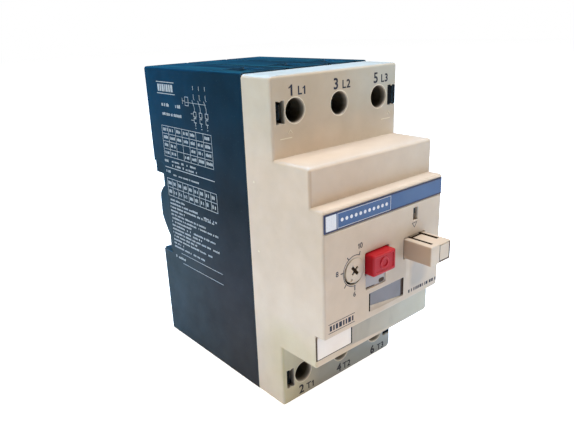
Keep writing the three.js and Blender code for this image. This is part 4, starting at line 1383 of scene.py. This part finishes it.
# ------------------------------------------------------------------ stage, light and camera
AIM = Vector((0, -0.05, 0))  # the lights look at this point


def build_floor():
    """A pale floor that glows only to the camera."""
    floor = make("floor", [(x, y, BOTTOM) for x, y in rect(-3000, 3000, -3000, 3000)],
                 [(0, 1, 2, 3)])
    mat = Shader("floor_pale")
    patches = mat.fade(mat.noise(6), 0.3, 0.7)
    to_camera = mat.add("LightPath").outputs["Is Camera Ray"]
    paint(floor, mat.set(
        Base_Color=mat.mix(patches, srgb(246, 246, 246), srgb(250, 250, 250)),
        Roughness=0.95,
        Specular_IOR_Level=0.0,
        Emission_Color=(1.0, 1.0, 1.0, 1.0),
        Emission_Strength=mat.times(to_camera, 0.94),
    ))


def build_world(to_object=0.05, to_camera=1.0):
    """A backdrop that is white to the camera and only a faint light to the object."""
    world = bpy.data.worlds.new("studio")
    scene.world = world
    world.use_nodes = True
    tree = world.node_tree
    background = tree.nodes["Background"]
    background.inputs["Color"].default_value = (1.0, 1.0, 1.0, 1.0)
    ray = tree.nodes.new("ShaderNodeLightPath")
    strength = tree.nodes.new("ShaderNodeMapRange")
    tree.links.new(ray.outputs["Is Camera Ray"], strength.inputs[0])
    strength.inputs[3].default_value = to_object
    strength.inputs[4].default_value = to_camera
    tree.links.new(strength.outputs[0], background.inputs["Strength"])


def area(name, azimuth, elevation, power, color, size=0.45, distance=0.9):
    """A soft square light; azimuth 0 is in front of the part, 90 on its right (+X)."""
    around, above = math.radians(azimuth), math.radians(elevation)
    place_at = Vector((
        distance * math.sin(around) * math.cos(above),
        AIM.y - distance * math.cos(around) * math.cos(above),
        distance * math.sin(above),
    ))
    light = bpy.data.lights.new(name, "AREA")
    light.shape, light.size, light.energy, light.color = "SQUARE", size, power, color
    lamp = add_object(name, light)
    lamp.location = place_at
    lamp.rotation_euler = (AIM - place_at).to_track_quat("-Z", "Y").to_euler()


def build_camera():
    camera = bpy.data.cameras.new("camera")
    camera.sensor_width, camera.lens = 36.0, 35.61115
    camera.clip_start, camera.clip_end = 0.01, 20
    holder = add_object("camera", camera)
    right = (0.756412, -0.653081, -0.036408)
    up = (0.239471, 0.224703, 0.944543)
    backward = (-0.608683, -0.723183, 0.326362)
    location = (-0.14310, -0.21632, 0.07760)
    holder.matrix_world = Matrix([*zip(right, up, backward, location), (0, 0, 0, 1)])
    scene.camera = holder


build_floor()
build_world()
area("top_softbox", azimuth=0, elevation=88, power=8.4, color=(0.95, 0.95, 1.0))
area("left_key", azimuth=-105, elevation=25, power=4.0, color=(1.0, 0.80, 0.48))
area("right_fill", azimuth=45, elevation=30, power=3.6, color=(1.0, 0.92, 0.78))
area("back_window", azimuth=180, elevation=55, power=8.5, color=(0.06, 0.47, 1.0))
build_camera()
scene.view_settings.view_transform = "Standard"
scene.view_settings.look = "None"
